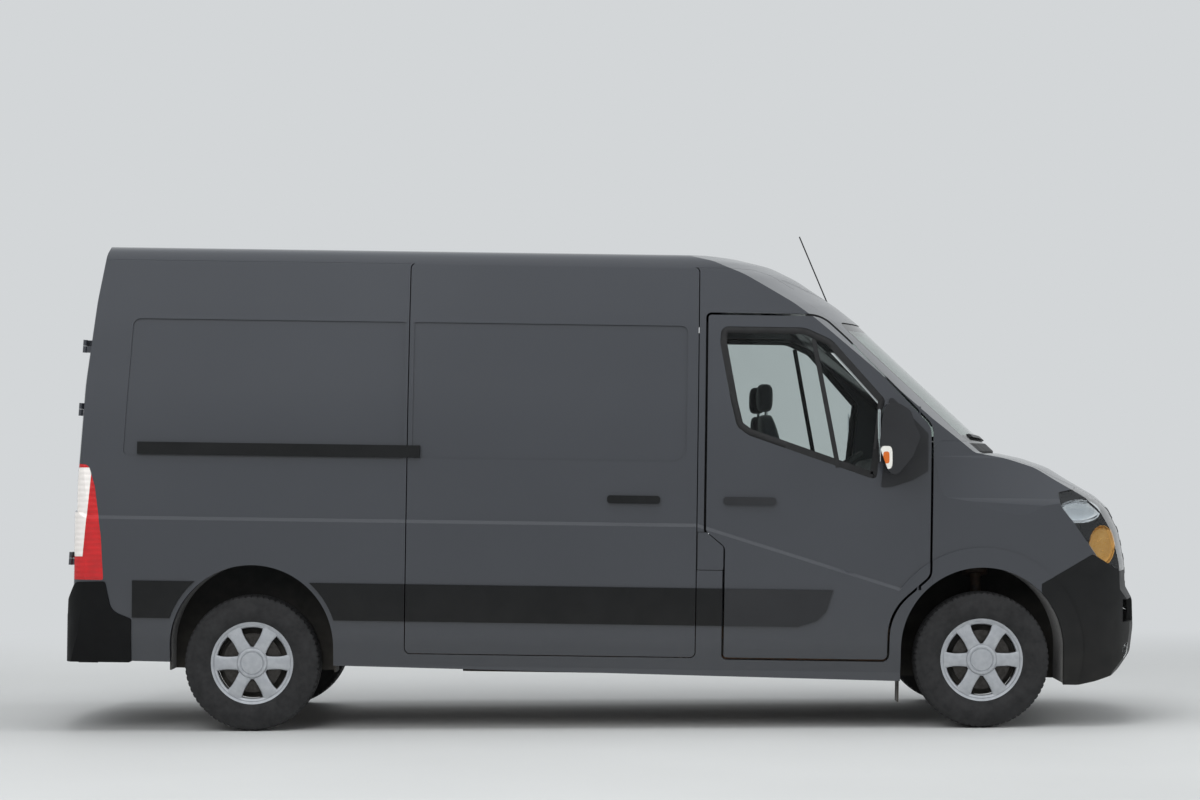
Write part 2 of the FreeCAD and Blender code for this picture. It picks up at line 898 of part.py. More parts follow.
def tapered_shoulders(name, depth):
    """Front part of the body, narrowing forwards over the wings, with the rest behind it."""
    start = along(SHOULDER_START_SHARE)
    sections = []
    for share, table in ((SHOULDER_START_SHARE, DOOR_SECTION_SHARES), (SHOULDER_END_SHARE, NOSE_SECTION_SHARES)):
        top = (0, up(SHOULDER_TOP_SHARE), 0)
        ring = closed_section(front_corners(table), depth, low_level(), top)
        outline = sketch(name + "_at_%d" % len(sections), "YZ", ring)
        outline.Placement = Placement(Vector(along(share), 0, 0), PLANES["YZ"])
        sections.append(outline)
    front = doc.addObject("Part::Loft", name + "_loft")
    front.Sections = sections
    front.Solid = True
    front.Ruled = True
    reach = size("rear_overhang") + size("overrun")
    wide = size("half_width") + size("overrun")
    rest = box(name + "_rest", (-reach, -wide, low_level()), (start, wide, up(SHOULDER_TOP_SHARE)))
    return fuse(name, front, rest)


def hull(name, depth):
    """Outer volume of the body moved inwards by depth: what five simple forms share."""
    return common(
        name,
        run_section(name + "_section", depth),
        turned_nose(name + "_nose", depth),
        turned_tail(name + "_tail", depth),
        rising_plan(name + "_plan", depth),
        tapered_shoulders(name + "_shoulders", depth),
    )


def side_region(name, shares, reach="both"):
    """Outline seen from the side, run across the van or across its right half."""
    ahead = ALL if reach == "both" else "0 mm"
    return prism(name, "XZ", side_corners(shares), ahead, ALL)


def both_halves(corners):
    """Half outline seen from the front, closed by its mirror image."""
    return mirrored(corners, "first")


def swage_band(name):
    """Wider lower body: level along the load space, then falling to the front arch."""
    depth = size("swage_depth")
    ring = both_halves(front_corners(SWAGE_SECTION_SHARES))
    level = prism(name + "_level", "YZ", ring, "Sizes.wheelbase", "Sizes.rear_overhang")
    start, fall = SWAGE_SHARES
    run = Vector(along(fall[0]) - along(start[0]), 0, up(fall[1]) - up(start[1]))
    level.setExpression("LengthFwd", "Sizes.wheelbase * %s" % start[0])
    falling = doc.addObject("Part::Extrusion", name + "_falling")
    outline = sketch(name + "_falling", "YZ", ring)
    outline.Placement = Placement(Vector(along(start[0]), 0, 0), PLANES["YZ"])
    falling.Base = outline
    falling.DirMode = "Custom"
    falling.Dir = run
    falling.LengthFwd = run.Length * SWAGE_RUN_SHARE
    falling.Solid = True
    flare = arch_disc(name + "_flare", True, size("arch_radius") + size("arch_flare"))
    wide = fuse(name + "_wide", level, falling, flare)
    return common(name, hull(name + "_hull", -depth), wide)


def arch_centre(on_front):
    """Middle of a wheel arch, in the body frame."""
    if on_front:
        return size("wheelbase"), size("tyre_radius") + front_axle_rise() + size("front_arch_lift")
    return 0, size("tyre_radius") + size("rear_arch_lift")


def front_axle_rise():
    """How far the front axle stands above the rear one in the pitched body's own frame."""
    return size("wheelbase") * math.sin(math.radians(size("body_rake")))


def arch_disc(name, on_front, radius):
    """Round solid across the whole van about an arch's middle."""
    x, z = arch_centre(on_front)
    reach = size("half_width") + size("overrun")
    item = doc.addObject("Part::Cylinder", name)
    item.Radius = radius
    item.Height = 2 * reach
    item.Placement = Placement(Vector(x, -reach, z), Rotation(Vector(1, 0, 0), -90))
    return item


def arch_opening(name, on_front, radius):
    """Round solid run down to the road, for the opening of an arch."""
    x, z = arch_centre(on_front)
    reach = size("half_width") + size("overrun")
    lower = box(name + "_lower", (x - radius, -reach, low_level()), (x + radius, reach, z))
    return fuse(name, arch_disc(name + "_disc", on_front, radius), lower)


def wide_reach():
    """Distance from the middle plane that is outside everything."""
    return size("half_width") + size("overrun")


def rear_reach():
    """Distance behind the rear axle that is outside everything."""
    return size("rear_overhang") + size("overrun")


def front_reach():
    """Distance ahead of the rear axle that is outside everything."""
    return size("wheelbase") + size("front_overhang") + size("overrun")


def side_prism(name, corners, reach="both"):
    """Outline in millimetres seen from the side, run across the van or its right half."""
    return prism(name, "XZ", corners, ALL if reach == "both" else "0 mm", ALL)


def build_volumes():
    """Volumes that every panel is taken from."""
    v = {}
    plain = hull("plain_hull", 0)
    pressed = hull("pressed_hull", size("press_depth"))
    pressing = common("pressing", cut("press_skin", plain, pressed), body_presses())
    v["outer"] = fuse("outer", cut("pressed_plain", plain, pressing), swage_band("swage"))
    split = along(SHOULDER_START_SHARE)
    wide, high, low = wide_reach(), up(1) + size("overrun"), 2 * low_level()
    rear_half = box("rear_half", (-rear_reach(), -wide, low), (split, wide, high))
    v["nose_half"] = box("nose_half", (split, -wide, low), (front_reach(), wide, high))
    inner_wall = hull("wall_hull", size("side_wall"))
    v["inner_nose"] = hull("nose_hull", size("nose_wall"))
    inside = fuse(
        "inside",
        common("inside_rear", inner_wall, rear_half),
        common("inside_nose", v["inner_nose"], v["nose_half"]),
    )
    v["shell"] = cut(
        "shell",
        v["outer"],
        inside,
        arch_opening("front_opening", True, size("arch_radius")),
        arch_opening("rear_opening", False, size("arch_radius")),
        side_region("lower_edge", LOWER_EDGE_SHARES),
    )
    v["nose_skin"] = common("nose_skin", v["shell"], v["nose_half"])
    v["proud"] = cut("proud_skin", run_section("proud_section", -size("strip_depth")), v["outer"])
    return v


def body_presses():
    """Shallow pressings of the sides and of the rear doors."""
    parts = [rear_presses()]
    for name, table in (("rear_press", REAR_RECESS_SHARES), ("door_press", DOOR_RECESS_SHARES)):
        parts.append(side_region(name, table))
    return fuse("body_presses", *parts)


def rear_presses():
    """Shallow pressings of the rear doors, reached from behind only."""
    parts = []
    for index, table in enumerate((REAR_DOOR_PRESSING_SHARES, PLATE_PRESSING_SHARES)):
        for side in (-1, 1):
            ring = [(side * a, b, r) for a, b, r in front_corners(table)]
            parts.append(prism("rear_press_%d_%d" % (index, side + 1), "YZ", ring, "0 mm", REAR))
    return fuse("rear_presses", *parts)


def grown(corners, amount):
    """Outline moved outwards by a clearance."""
    return inset(corners, -amount)


def wheel_house(name, on_front, radius, inner):
    """Space of the two wheels of an axle, inboard to a distance from the middle plane."""
    x, z = arch_centre(on_front)
    wide, low = wide_reach(), low_level()
    right = box(name + "_right", (x - radius, -wide, low), (x + radius, -inner, z + radius))
    left = box(name + "_left", (x - radius, inner, low), (x + radius, wide, z + radius))
    opening = arch_opening(name + "_opening", on_front, radius)
    return common(name, opening, fuse(name + "_sides", right, left))


def windscreen_region(name, gap):
    """Space over the windscreen, seen from the front."""
    corners = grown(both_halves(front_corners(WINDSCREEN_SHARES)), gap)
    item = prism(name, "YZ", corners, LONG, "0 mm")
    bind(item, "LengthRev", "Sizes.wheelbase * %s" % -HEADER_SHARES[0])
    return item


def roof_region(name, gap):
    """Everything above the roof's seam, with the header over the windscreen."""
    above = side_prism(name + "_above", grown(side_corners(ROOF_SHARES), gap))
    start, end, out, low = HEADER_SHARES
    header = box(name + "_header", (along(start), -across(out) - gap, up(low)),
                 (along(end), across(out) + gap, up(1)))
    return fuse(name, above, header)


def rear_doorway(name, gap):
    """Space behind the rear doors' outline."""
    corners = grown(both_halves(front_corners(REAR_DOOR_SHARES)), gap)
    return prism(name, "YZ", corners, "0 mm", REAR)


def corner_region(name, table, inner_share, span_shares, gap):
    """Side outline kept outboard of a distance from the middle plane."""
    shape = side_prism(name + "_shape", grown(side_corners(table), gap))
    inner = across(inner_share) - gap
    start, end = span_shares
    middle = box(name + "_middle", (along(start), -inner, 0), (along(end), inner, up(1)))
    return cut(name, shape, middle)


def headlamp_region(name, gap):
    """Space of the two headlamps."""
    return corner_region(name, HEADLAMP_SHARES, HEADLAMP_INNER_SHARE, NOSE_SPAN_SHARES, gap)


def front_bumper_region(name, gap):
    """Space of the front bumper, higher under the headlamps."""
    shape = side_prism(name + "_shape", grown(side_corners(BUMPER_SHARES), gap))
    corner = corner_region(name + "_corner", BUMPER_CORNER_SHARES, HEADLAMP_INNER_SHARE, NOSE_SPAN_SHARES, gap)
    return fuse(name, shape, corner)


def tail_lamp_region(name, gap):
    """Space of the two tail lamps."""
    return corner_region(name, TAIL_LAMP_SHARES, TAIL_LAMP_INNER_SHARE, TAIL_SPAN_SHARES, gap)


def bumper_region(name, gap):
    """Space of the rear bumper, seen from the side."""
    return side_prism(name, grown(side_corners(REAR_BUMPER_SHARES), gap))


def right_half(name):
    """Space on the right of the middle plane."""
    return box(name, (-rear_reach(), -wide_reach(), 2 * low_level()),
               (front_reach(), 0, up(1) + size("overrun")))


def build_body_sides(v):
    """Side panels with their pillars, the right one with its sliding doorway and filler pocket."""
    seam, pane, gap = size("seam_gap"), size("pane_gap"), size("panel_gap")
    zone = side_region("side_zone", SIDE_ZONE_SHARES, "right")
    doorway = side_prism("front_doorway", grown(side_corners(FRONT_DOOR_SHARES), size("door_gap")))
    blank = cut(
        "side_blank",
        common("side_half", v["shell"], zone),
        doorway,
        roof_region("roof_over_sides", seam),
        windscreen_region("screen_opening", pane),
        rear_doorway("rear_opening_space", gap),
        tail_lamp_region("tail_lamp_space", pane),
        bumper_region("rear_bumper_space", seam),
        door_relief(),
    )
    pins = [front_door_pin("door_pin_%d" % i, i, 0) for i in (0, 1)]
    blank = fuse("side_with_pins", blank, *pins)
    left = common("side_left", mirror("side_image", blank), mirror("left_half", right_half("half_image")))
    body_node("body_side_left", left)
    slide = side_prism("sliding_doorway", grown(side_corners(SLIDING_DOOR_SHARES), gap))
    pocket = filler_pocket("filler_pocket")
    flap_pins = [flap_pin("flap_pin_%d" % i, i, 0) for i in (0, 1)]
    body_node("body_side_right", fuse("side_right", cut("side_right_cut", blank, slide, pocket), *flap_pins))


def filler_pocket(name):
    """Recess behind the filler flap, as wide as the pillar that it is in."""
    gap = size("flap_gap")
    depth = size("half_width") - size("flap_pocket") - size("flap_thickness")
    low, high = up(FLAP_SHARES[4][1]) - gap, up(FLAP_SHARES[0][1]) + gap
    start, end = along(SLIDING_DOOR_SHARES[1][0]), along(FRONT_DOOR_SHARES[1][0])
    return box(name, (start, -wide_reach(), low), (end, -depth, high))


def build_roof(v):
    """Roof panel from the rear header to the top of the windscreen."""
    roof = common("roof", v["shell"], roof_region("roof_zone", 0))
    screen = windscreen_region("roof_screen", size("pane_gap"))
    body_node("roof_panel", cut("roof_cut", roof, screen, rear_doorway("roof_doorway", size("panel_gap"))))


def door_pin_line(fraction):
    """Point on the hinge line of the right front door, from its lower to its upper edge."""
    x = along(FRONT_DOOR_SHARES[6][0]) - size("door_pin_back")
    low, high = up(FRONT_DOOR_SHARES[5][1]), up(FRONT_DOOR_SHARES[6][1])
    z = low + (high - low) * fraction
    lean = math.tan(math.radians(size("door_pin_lean")))
    y = -size("half_width") * DOOR_SECTION_SHARES[1][0] + size("door_pin_inset") - size("swage_depth")
    return Vector(x, y + (z - low) * lean, z)


def door_relief():
    """Notch round the hinge line that lets the door's lower front corner turn."""
    start, stop = [tuple(door_pin_line(share)) for share in DOOR_RELIEF_SHARES]
    return rod("door_relief", start, stop, "Sizes.door_relief_radius")


def front_door_pin(name, end, clearance):
    """Pivot pin of the right front door at its lower (0) or upper (1) end, or the pin's bore."""
    fraction = PIN_END_SHARES[end]
    reach = size("door_pin_depth") + size("door_gap") * 2
    middle = door_pin_line(fraction)
    along_pin = (door_pin_line(1) - door_pin_line(0)).normalize()
    start, stop = middle - along_pin * reach, middle + along_pin * reach
    return rod(name, tuple(start), tuple(stop), hole_radius("door_pin_radius", clearance))


def hole_radius(pin, clearance):
    """Radius of a pin as an expression, or that of the bore which it turns in."""
    return "Sizes.%s + Sizes.running_gap" % pin if clearance else "Sizes.%s" % pin


def flap_pin(name, end, clearance):
    """Pivot pin of the filler flap at its lower (0) or upper (1) edge, or the pin's bore."""
    x = along(FLAP_SHARES[0][0]) + size("flap_pin_inset")
    y = -size("half_width") + size("flap_thickness") + size("flap_pin_inset")
    z = up(FLAP_SHARES[4][1]) if end == 0 else up(FLAP_SHARES[0][1])
    reach = size("flap_gap") * 2 + size("flap_thickness")
    return rod(name, (x, y, z - reach), (x, y, z + reach), hole_radius("flap_pin_radius", clearance))


def build_front_doors(v):
    """Front doors with window openings, and their panes."""
    region = side_region("front_door_region", FRONT_DOOR_SHARES, "right")
    window = side_region("front_window", DOOR_WINDOW_SHARES, "right")
    bores = [front_door_pin("door_bore_%d" % i, i, 1) for i in (0, 1)]
    skin = common("front_door_skin", v["shell"], region)
    inner = across(DOOR_INNER_SHARE)
    middle = box("front_door_middle", (0, -inner, up(0)), (along(1), inner, up(1)))
    body_pair("front_door", cut("front_door", skin, window, middle, *bores))
    pane = cut("side_glass", run_section("glass_outer", size("glass_depth")),
               run_section("glass_inner", size("glass_depth") + size("glass_thickness")))
    inside = inset(side_corners(DOOR_WINDOW_SHARES), size("pane_gap"))
    body_pair("front_door_glass", common("front_pane", pane, side_prism("pane_zone", inside, "right")))
    slide = side_region("sliding_door_region", SLIDING_DOOR_SHARES, "right")
    body_node("sliding_door", common("sliding_door_skin", v["shell"], slide))


def build_rear_doors(v):
    """Two rear doors that meet on the middle plane, with the hinges that carry them."""
    ring = [(-a, b, r) for a, b, r in front_corners(REAR_DOOR_SHARES)]
    gap = size("panel_gap") / 2
    ring = [(-gap, ring[0][1], 0)] + ring + [(-gap, ring[-1][1], 0)]
    skin = common("rear_door_skin", v["shell"], prism("rear_door_region", "YZ", ring, "0 mm", REAR))
    leaves = [cut("door_leaf_%d" % i, hinge_half("leaf_%d" % i, share, 1), v["outer"])
              for i, share in enumerate(REAR_HINGE_SHARES)]
    body_pair("rear_door", fuse("rear_door", skin, *leaves))
    brackets = [cut("body_leaf_%d" % i, hinge_half("bracket_%d" % i, share, 0), v["outer"])
                for i, share in enumerate(REAR_HINGE_SHARES)]
    body_node("rear_door_hinges", both_sides("rear_hinges", fuse("hinge_brackets", *brackets)))


def hinge_line(level):
    """Point on the hinge line of the right rear door at a height."""
    lean = math.tan(math.radians(size("rear_hinge_lean")))
    start = up(REAR_DOOR_SHARES[0][1])
    return Vector(-size("rear_hinge_along") + (level - start) * lean, -size("rear_hinge_out"), level)


def rear_door_edge(level):
    """Distance of a rear door's outer edge from the middle plane at a height."""
    low, high = REAR_DOOR_SHARES[1], REAR_DOOR_SHARES[2]
    rise = max((level - up(low[1])) / (up(high[1]) - up(low[1])), 0)
    return across(low[0] + (high[0] - low[0]) * rise)


def hinge_half(name, share, on_door):
    """Half of a rear hinge: a barrel and the arm that ties it to the door or to the body."""
    half = size("rear_hinge_length") / 2
    low = up(share) + half * on_door
    high = low + half - size("hinge_gap") * on_door
    start, stop = hinge_line(low + size("hinge_gap") * on_door), hinge_line(high)
    barrel = rod(name + "_barrel", tuple(start), tuple(stop), "Sizes.hinge_pin_radius")
    x, y = start.x, start.y
    leaf, reach = size("hinge_leaf"), along(HINGE_REACH_SHARE)
    if on_door:
        door_edge = -rear_door_edge(high) + size("hinge_pad")
        plate = box(name + "_plate", (x - leaf / 2, y, start.z), (x + leaf / 2, door_edge, high))
        pad = box(name + "_pad", (x - leaf / 2, door_edge - size("hinge_leaf"), start.z),
                  (reach, door_edge, high))
        return fuse(name, barrel, plate, pad)
    plate = box(name + "_plate", (x, y - leaf / 2, low), (reach, y + leaf / 2, high))
    return fuse(name, barrel, plate)


def scuttle_disc(name, gap):
    """Upright round solid whose edge is the line between scuttle and bonnet."""
    centre = size("bow_centre_front")
    item = doc.addObject("Part::Cylinder", name)
    item.Radius = along(BONNET_REAR_STATION) - centre + gap
    item.Height = up(1)
    item.Placement = Placement(Vector(centre, 0, 0), Rotation())
    return item


def bonnet_region(name, gap, rear_gap):
    """Space over the bonnet's plan, ahead of the scuttle and above the grille."""
    corners = grown(mirrored(plan_corners(BONNET_PLAN_SHARES), "second"), gap)
    plan = prism(name + "_plan", "XY", corners, TALL, "0 mm")
    wide = wide_reach()
    above = box(name + "_above", (along(SHOULDER_START_SHARE), -wide, up(BONNET_FRONT_SHARE) - gap),
                (front_reach(), wide, up(1)))
    return cut(name, common(name + "_space", plan, above), scuttle_disc(name + "_scuttle", -rear_gap))


def scuttle_region(name, gap):
    """Space of the scuttle, under the windscreen and behind the bonnet."""
    out = across(BONNET_PLAN_SHARES[0][1]) + gap
    block = box(name + "_block", (along(SHOULDER_START_SHARE), -out, up(COWL_LOW_SHARE)),
                (along(2), out, up(COWL_TOP_SHARE) + gap))
    return common(name, block, scuttle_disc(name + "_disc", gap))


def build_bonnet(v):
    """Bonnet, hinged on two pins at its rear corners."""
    bores = [bonnet_pin("bonnet_bore_%d" % i, side, 1) for i, side in enumerate((-1, 1))]
    skin = common("bonnet_skin", v["nose_skin"], bonnet_region("bonnet_zone", 0, 0))
    body_node("bonnet", cut("bonnet_cut", skin, *bores))


def bonnet_pin(name, side, clearance):
    """Pivot pin of the bonnet on one side, or the pin's bore."""
    out = across(BONNET_PLAN_SHARES[1][1])
    x, z, half = size("bonnet_pin_along"), size("bonnet_pin_level"), size("bonnet_pin_length")
    start, stop = sorted((side * (out - half), side * (out + half)))
    return rod(name, (x, start, z), (x, stop, z), hole_radius("bonnet_pin_radius", clearance))


def build_nose(v):
    """Bumper, grille, scuttle and wings, and the blanks of the headlamps."""
    seam, pane = size("seam_gap"), size("pane_gap")
    bonnet = bonnet_region("bonnet_space", size("bonnet_gap"), size("scuttle_gap"))
    below = cut("nose_below", v["nose_skin"], bonnet)
    v["headlamps"] = common("headlamps", below, headlamp_region("lamp_zone", 0))
    lamp_seam = headlamp_region("lamp_seam", seam)
    bumper = common("bumper_piece", below, front_bumper_region("bumper_zone", 0))
    body_node("front_bumper", cut("front_bumper", bumper, lamp_seam, bumper_openings()))
    bumper_seam = front_bumper_region("bumper_seam", seam)
    rest = cut("nose_rest", below, bumper_seam, lamp_seam)
    build_grille(rest)
    screen = windscreen_region("scuttle_screen", pane)
    scuttle = common("scuttle_skin", rest, scuttle_region("scuttle_zone", 0))
    body_node("scuttle_panel", cut("scuttle", scuttle, screen))
    build_wings(rest)


def build_grille(rest):
    """Grille between the headlamps, with level slots."""
    inner = across(HEADLAMP_INNER_SHARE) - size("seam_gap")
    middle = box("grille_zone", (along(NOSE_START_SHARE), -inner, 0), (front_reach(), inner, up(1)))
    body_node("front_grille", cut("front_grille", common("grille_skin", rest, middle), *grille_slots()))


def build_wings(rest):
    """Front wings with the pins that carry the bonnet."""
    seam = size("seam_gap")
    inner = across(HEADLAMP_INNER_SHARE) - seam
    middle = box("wing_middle", (along(NOSE_START_SHARE), -inner - seam, 0), (front_reach(), inner + seam, up(1)))
    skin = cut(
        "wing_skin",
        rest,
        scuttle_region("scuttle_seam", seam),
        side_prism("side_zone_seam", grown(side_corners(SIDE_ZONE_SHARES), seam)),
        side_prism("door_front_gap", grown(side_corners(FRONT_DOOR_SHARES), size("wing_gap"))),
        windscreen_region("wing_screen", seam),
        middle,
    )
    pins = [bonnet_pin("bonnet_pin_%d" % i, side, 0) for i, side in enumerate((-1, 1))]
    body_node("front_wings", fuse("front_wings", skin, *pins))


def bumper_openings():
    """Air intakes through the front bumper, and the holes of its fog lamps."""
    low, high = INTAKE_SHARES
    near, far = along(NOSE_START_SHARE), front_reach()
    parts = [box("middle_intake", (near, -across(low[0]), up(low[1])), (far, across(high[0]), up(high[1])))]
    low, high = SIDE_INTAKE_SHARES
    for side in (-1, 1):
        a, b = sorted((side * across(low[0]), side * across(high[0])))
        parts.append(box("side_intake_%d" % (side + 1), (near, a, up(low[1])), (far, b, up(high[1]))))
        parts.append(fog_bar("fog_hole_%d" % (side + 1), side, "Sizes.fog_radius + Sizes.seat_gap"))
    return fuse("bumper_openings", *parts)


def fog_bar(name, side, radius):
    """Round bar along the van at a fog lamp's place."""
    y, z = side * across(FOG_LAMP_SHARES[0]), up(FOG_LAMP_SHARES[1])
    return rod(name, (along(NOSE_START_SHARE), y, z), (front_reach(), y, z), radius)


def grille_slots():
    """Level slots of the grille, as many as there are gaps between its slats."""
    count = int(size("slot_count"))
    low, high = up(GRILLE_SHARES[0]), up(GRILLE_SHARES[1])
    pitch = (high - low) / count
    out = across(HEADLAMP_INNER_SHARE) * SLOT_WIDTH_SHARE
    near, far = along(NOSE_START_SHARE), front_reach()
    slots = []
    for i in range(count):
        bottom = low + pitch * i
        slots.append(box("grille_slot_%d" % i, (near, -out, bottom), (far, out, bottom + pitch * SLOT_SHARE)))
    return slots


def build_lamps(v):
    """Headlamps, fog lamps in the bumper and tail lamps at the rear corners."""
    bars = fuse("fog_bars", *[fog_bar("fog_bar_%d" % (s + 1), s, "Sizes.fog_radius") for s in (-1, 1)])
    edge = side_region("fog_lower_edge", LOWER_EDGE_SHARES)
    whole = cut("fog_skin", v["outer"], v["inner_nose"], edge)
    body_node("front_lamps", fuse("front_lamps", v["headlamps"], common("fog_lamps", bars, whole)))
    tail = common("tail_lamps", v["shell"], tail_lamp_region("tail_lamp_zone", 0))
    body_node("tail_lamps", cut("tail_lamps_cut", tail, rear_doorway("tail_doorway", size("panel_gap"))))


def build_windscreen():
    """Curved windscreen pane with the two wiper arms that lie on it."""
    outer = turned_nose("screen_outer", size("glass_depth"))
    inner = turned_nose("screen_inner", size("glass_depth") + size("glass_thickness"))
    pane = cut("screen_layer", outer, inner)
    body_node("windscreen", common("windscreen", pane, windscreen_region("screen_zone", 0)))
    layer = cut("wiper_layer", turned_nose("wiper_outer", -size("wiper_width") / 2),
                turned_nose("wiper_inner", size("glass_depth")))
    body_node("wipers", common("wipers", layer, wiper_region()))


def wiper_region():
    """Two level bands near the foot of the windscreen, seen from the front."""
    bands = []
    width = size("wiper_width")
    for index, (low, high) in enumerate(WIPER_BAND_SHARES):
        run = Vector(0, across(high[0]) - across(low[0]), up(high[1]) - up(low[1]))
        side = Vector(0, -run.z, run.y).normalize() * (width / 2)
        start = Vector(0, across(low[0]), up(low[1]))
        ring = [start - side, start + run - side, start + run + side, start + side]
        corners = [(c.y, c.z, 0) for c in ring]
        band = prism("wiper_band_%d" % index, "YZ", corners, LONG, "0 mm")
        bind(band, "LengthRev", "Sizes.wheelbase * %s" % -HEADER_SHARES[0])
        bands.append(band)
    return fuse("wiper_region", *bands)


def build_strips(v):
    """Side strips, and the rail and handle of the sliding door."""
    low, top = up(STRIP_LOW_SHARE), up(STRIP_TOP_SHARE)
    start = along(REAR_BUMPER_SHARES[0][0]) + size("panel_gap")
    end = along(FRONT_DOOR_SHARES[2][0]) - size("door_gap")
    band = box("strip_band", (start, -wide_reach(), low), (end, 0, top))
    arch = arch_opening("strip_arch", False, size("arch_radius") + size("strip_depth"))
    plain = cut("strip_plain", common("strip_piece", v["proud"], band), arch)
    shuts = []
    for index, share in enumerate((SLIDING_DOOR_SHARES[0][0], SLIDING_DOOR_SHARES[1][0])):
        x = along(share) - size("panel_gap") * (1 - index)
        shuts.append(box("strip_shut_%d" % index, (x, -wide_reach(), low), (x + size("panel_gap"), 0, top)))
    left = mirror("strip_left", plain)
    rail = common("rail_piece", v["proud"], side_region("rail_region", RAIL_OUTLINE_SHARES, "right"))
    bound_out = size("half_width") * RAIL_PROUD_SHARE
    limit = box("rail_limit", (-rear_reach(), -bound_out, 0), (front_reach(), 0, up(1)))
    handle = common("sliding_handle", v["proud"], side_region("handle_region", SLIDING_HANDLE_SHARES, "right"))
    slide = common("sliding_door_rail", rail, limit)
    body_node("side_trim", fuse("side_trim", cut("strip_right", plain, *shuts), left, slide, handle))


def build_door_trim(v):
    """Strip, handle, sail panel and mirror that ride on each front door."""
    parts = []
    for name, table in (("door_strip", DOOR_STRIP_SHARES), ("front_handle", FRONT_HANDLE_SHARES)):
        parts.append(common(name, v["proud"], side_region(name + "_region", table, "right")))
    sail_skin = cut("sail_skin", run_section("sail_section", -size("swage_depth")), v["outer"])
    sail = common("sail", sail_skin, side_region("sail_region", SAIL_SHARES, "right"))
    mirror_piece = cut("mirror_cut", mirror_housing(), v["outer"])
    body_pair("front_door_trim", fuse("front_door_trim", *parts, sail, mirror_piece))


def mirror_housing():
    """Door mirror: a rounded housing on an arm from the sail panel."""
    outline = side_region("mirror_case", MIRROR_SHARES, "right")
    inner, reach = across(MIRROR_INNER_SHARE), size("mirror_reach")
    case = box("mirror_bound", (0, -reach, 0), (along(1), -inner, up(1)))
    low, high = MIRROR_ARM_SHARES
    arm = box("mirror_arm", (along(low[0]), -inner - size("swage_depth"), up(low[1])),
              (along(high[0]), -across(MIRROR_FOOT_SHARE), up(high[1])))
    return fuse("mirror", common("mirror_body", outline, case), arm)


def build_rear_bumper():
    """Bumper that wraps the rear corners, lower between them."""
    step, depth = size("rear_bumper_step"), size("strip_depth")
    skin = common(
        "bumper_hull",
        run_section("bumper_section", -depth),
        turned_tail("bumper_tail", -depth - step),
        rising_plan("bumper_plan", -depth),
        bumper_region("rear_bumper_zone", 0),
    )
    wall = size("side_wall")
    hollow = common(
        "bumper_hollow",
        run_section("bumper_inner_section", wall),
        turned_tail("bumper_inner_tail", wall),
        rising_plan("bumper_inner_plan", wall),
    )
    inner = across(REAR_DOOR_SHARES[0][0]) + size("bumper_end_gap")
    middle = box("bumper_middle", (-rear_reach(), -inner, up(REAR_BUMPER_CENTRE_SHARE)), (0, inner, up(1)))
    arch = arch_opening("bumper_arch", False, size("arch_radius"))
    body_node("rear_bumper", cut("rear_bumper", skin, hollow, middle, arch))


def build_flap(v):
    """Filler flap, hinged on two pins at its rear edge."""
    depth = size("half_width") - size("flap_thickness") - size("swage_depth")
    region = side_region("flap_region", FLAP_SHARES, "right")
    inward = box("flap_inward", (0, -depth, 0), (along(1), 0, up(1)))
    bores = [flap_pin("flap_bore_%d" % i, i, 1) for i in (0, 1)]
    body_node("fuel_flap", cut("fuel_flap", common("flap_skin", v["outer"], region), inward, *bores))


def inside_walls(name, piece, depth):
    """Part of a piece that lies inside the load space walls."""
    return common(
        name,
        piece,
        run_section(name + "_section", depth),
        rising_plan(name + "_plan", depth),
        turned_tail(name + "_tail", depth),
    )


def inside_nose(name, piece, depth):
    """Part of a piece that lies inside the wings."""
    return common(
        name,
        piece,
        run_section(name + "_section", depth),
        rising_plan(name + "_plan", depth),
        tapered_shoulders(name + "_taper", depth),
    )


def door_space(name):
    """Room beside the cab for the thickness and the swing of each front door."""
    inner = size("half_width") - size("side_wall") - size("door_clear")
    start, end = along(FRONT_DOOR_SHARES[0][0]) - size("door_gap"), along(SHOULDER_START_SHARE)
    block = box(name + "_right", (start, -wide_reach(), 0), (end, -inner, up(1)))
    return fuse(name, block, mirror(name + "_left", block))


def build_floor():
    """Floor pan, with its wheel houses left open."""
    top, thick, seat = size("floor_top"), size("floor_thickness"), size("seat_gap")
    slab = box("floor_slab", (-rear_reach(), -wide_reach(), top - thick),
               (size("firewall_station") - seat, wide_reach(), top))
    liner = size("arch_radius") + size("arch_liner") + seat
    floor = cut(
        "floor_pan",
        inside_walls("floor_piece", slab, size("side_wall") + seat),
        wheel_house("floor_front_house", True, liner, size("front_house_inner") - seat),
        wheel_house("floor_rear_house", False, liner, size("rear_house_inner") - seat),
        door_space("floor_door_space"),
    )
    body_node("floor_pan", floor)


def build_underframe():
    """Rails, front subframe and strut towers, all under the floor."""
    body_node("underframe", fuse("underframe", chassis_rails(), front_subframe(), strut_towers()))


def cross_member_foot():
    """Height of the lower faces of the cross members."""
    top = size("floor_top") - size("floor_thickness") - size("seat_gap")
    return top - size("rail_height") * (1 - CROSS_MEMBER_DROP_SHARE)


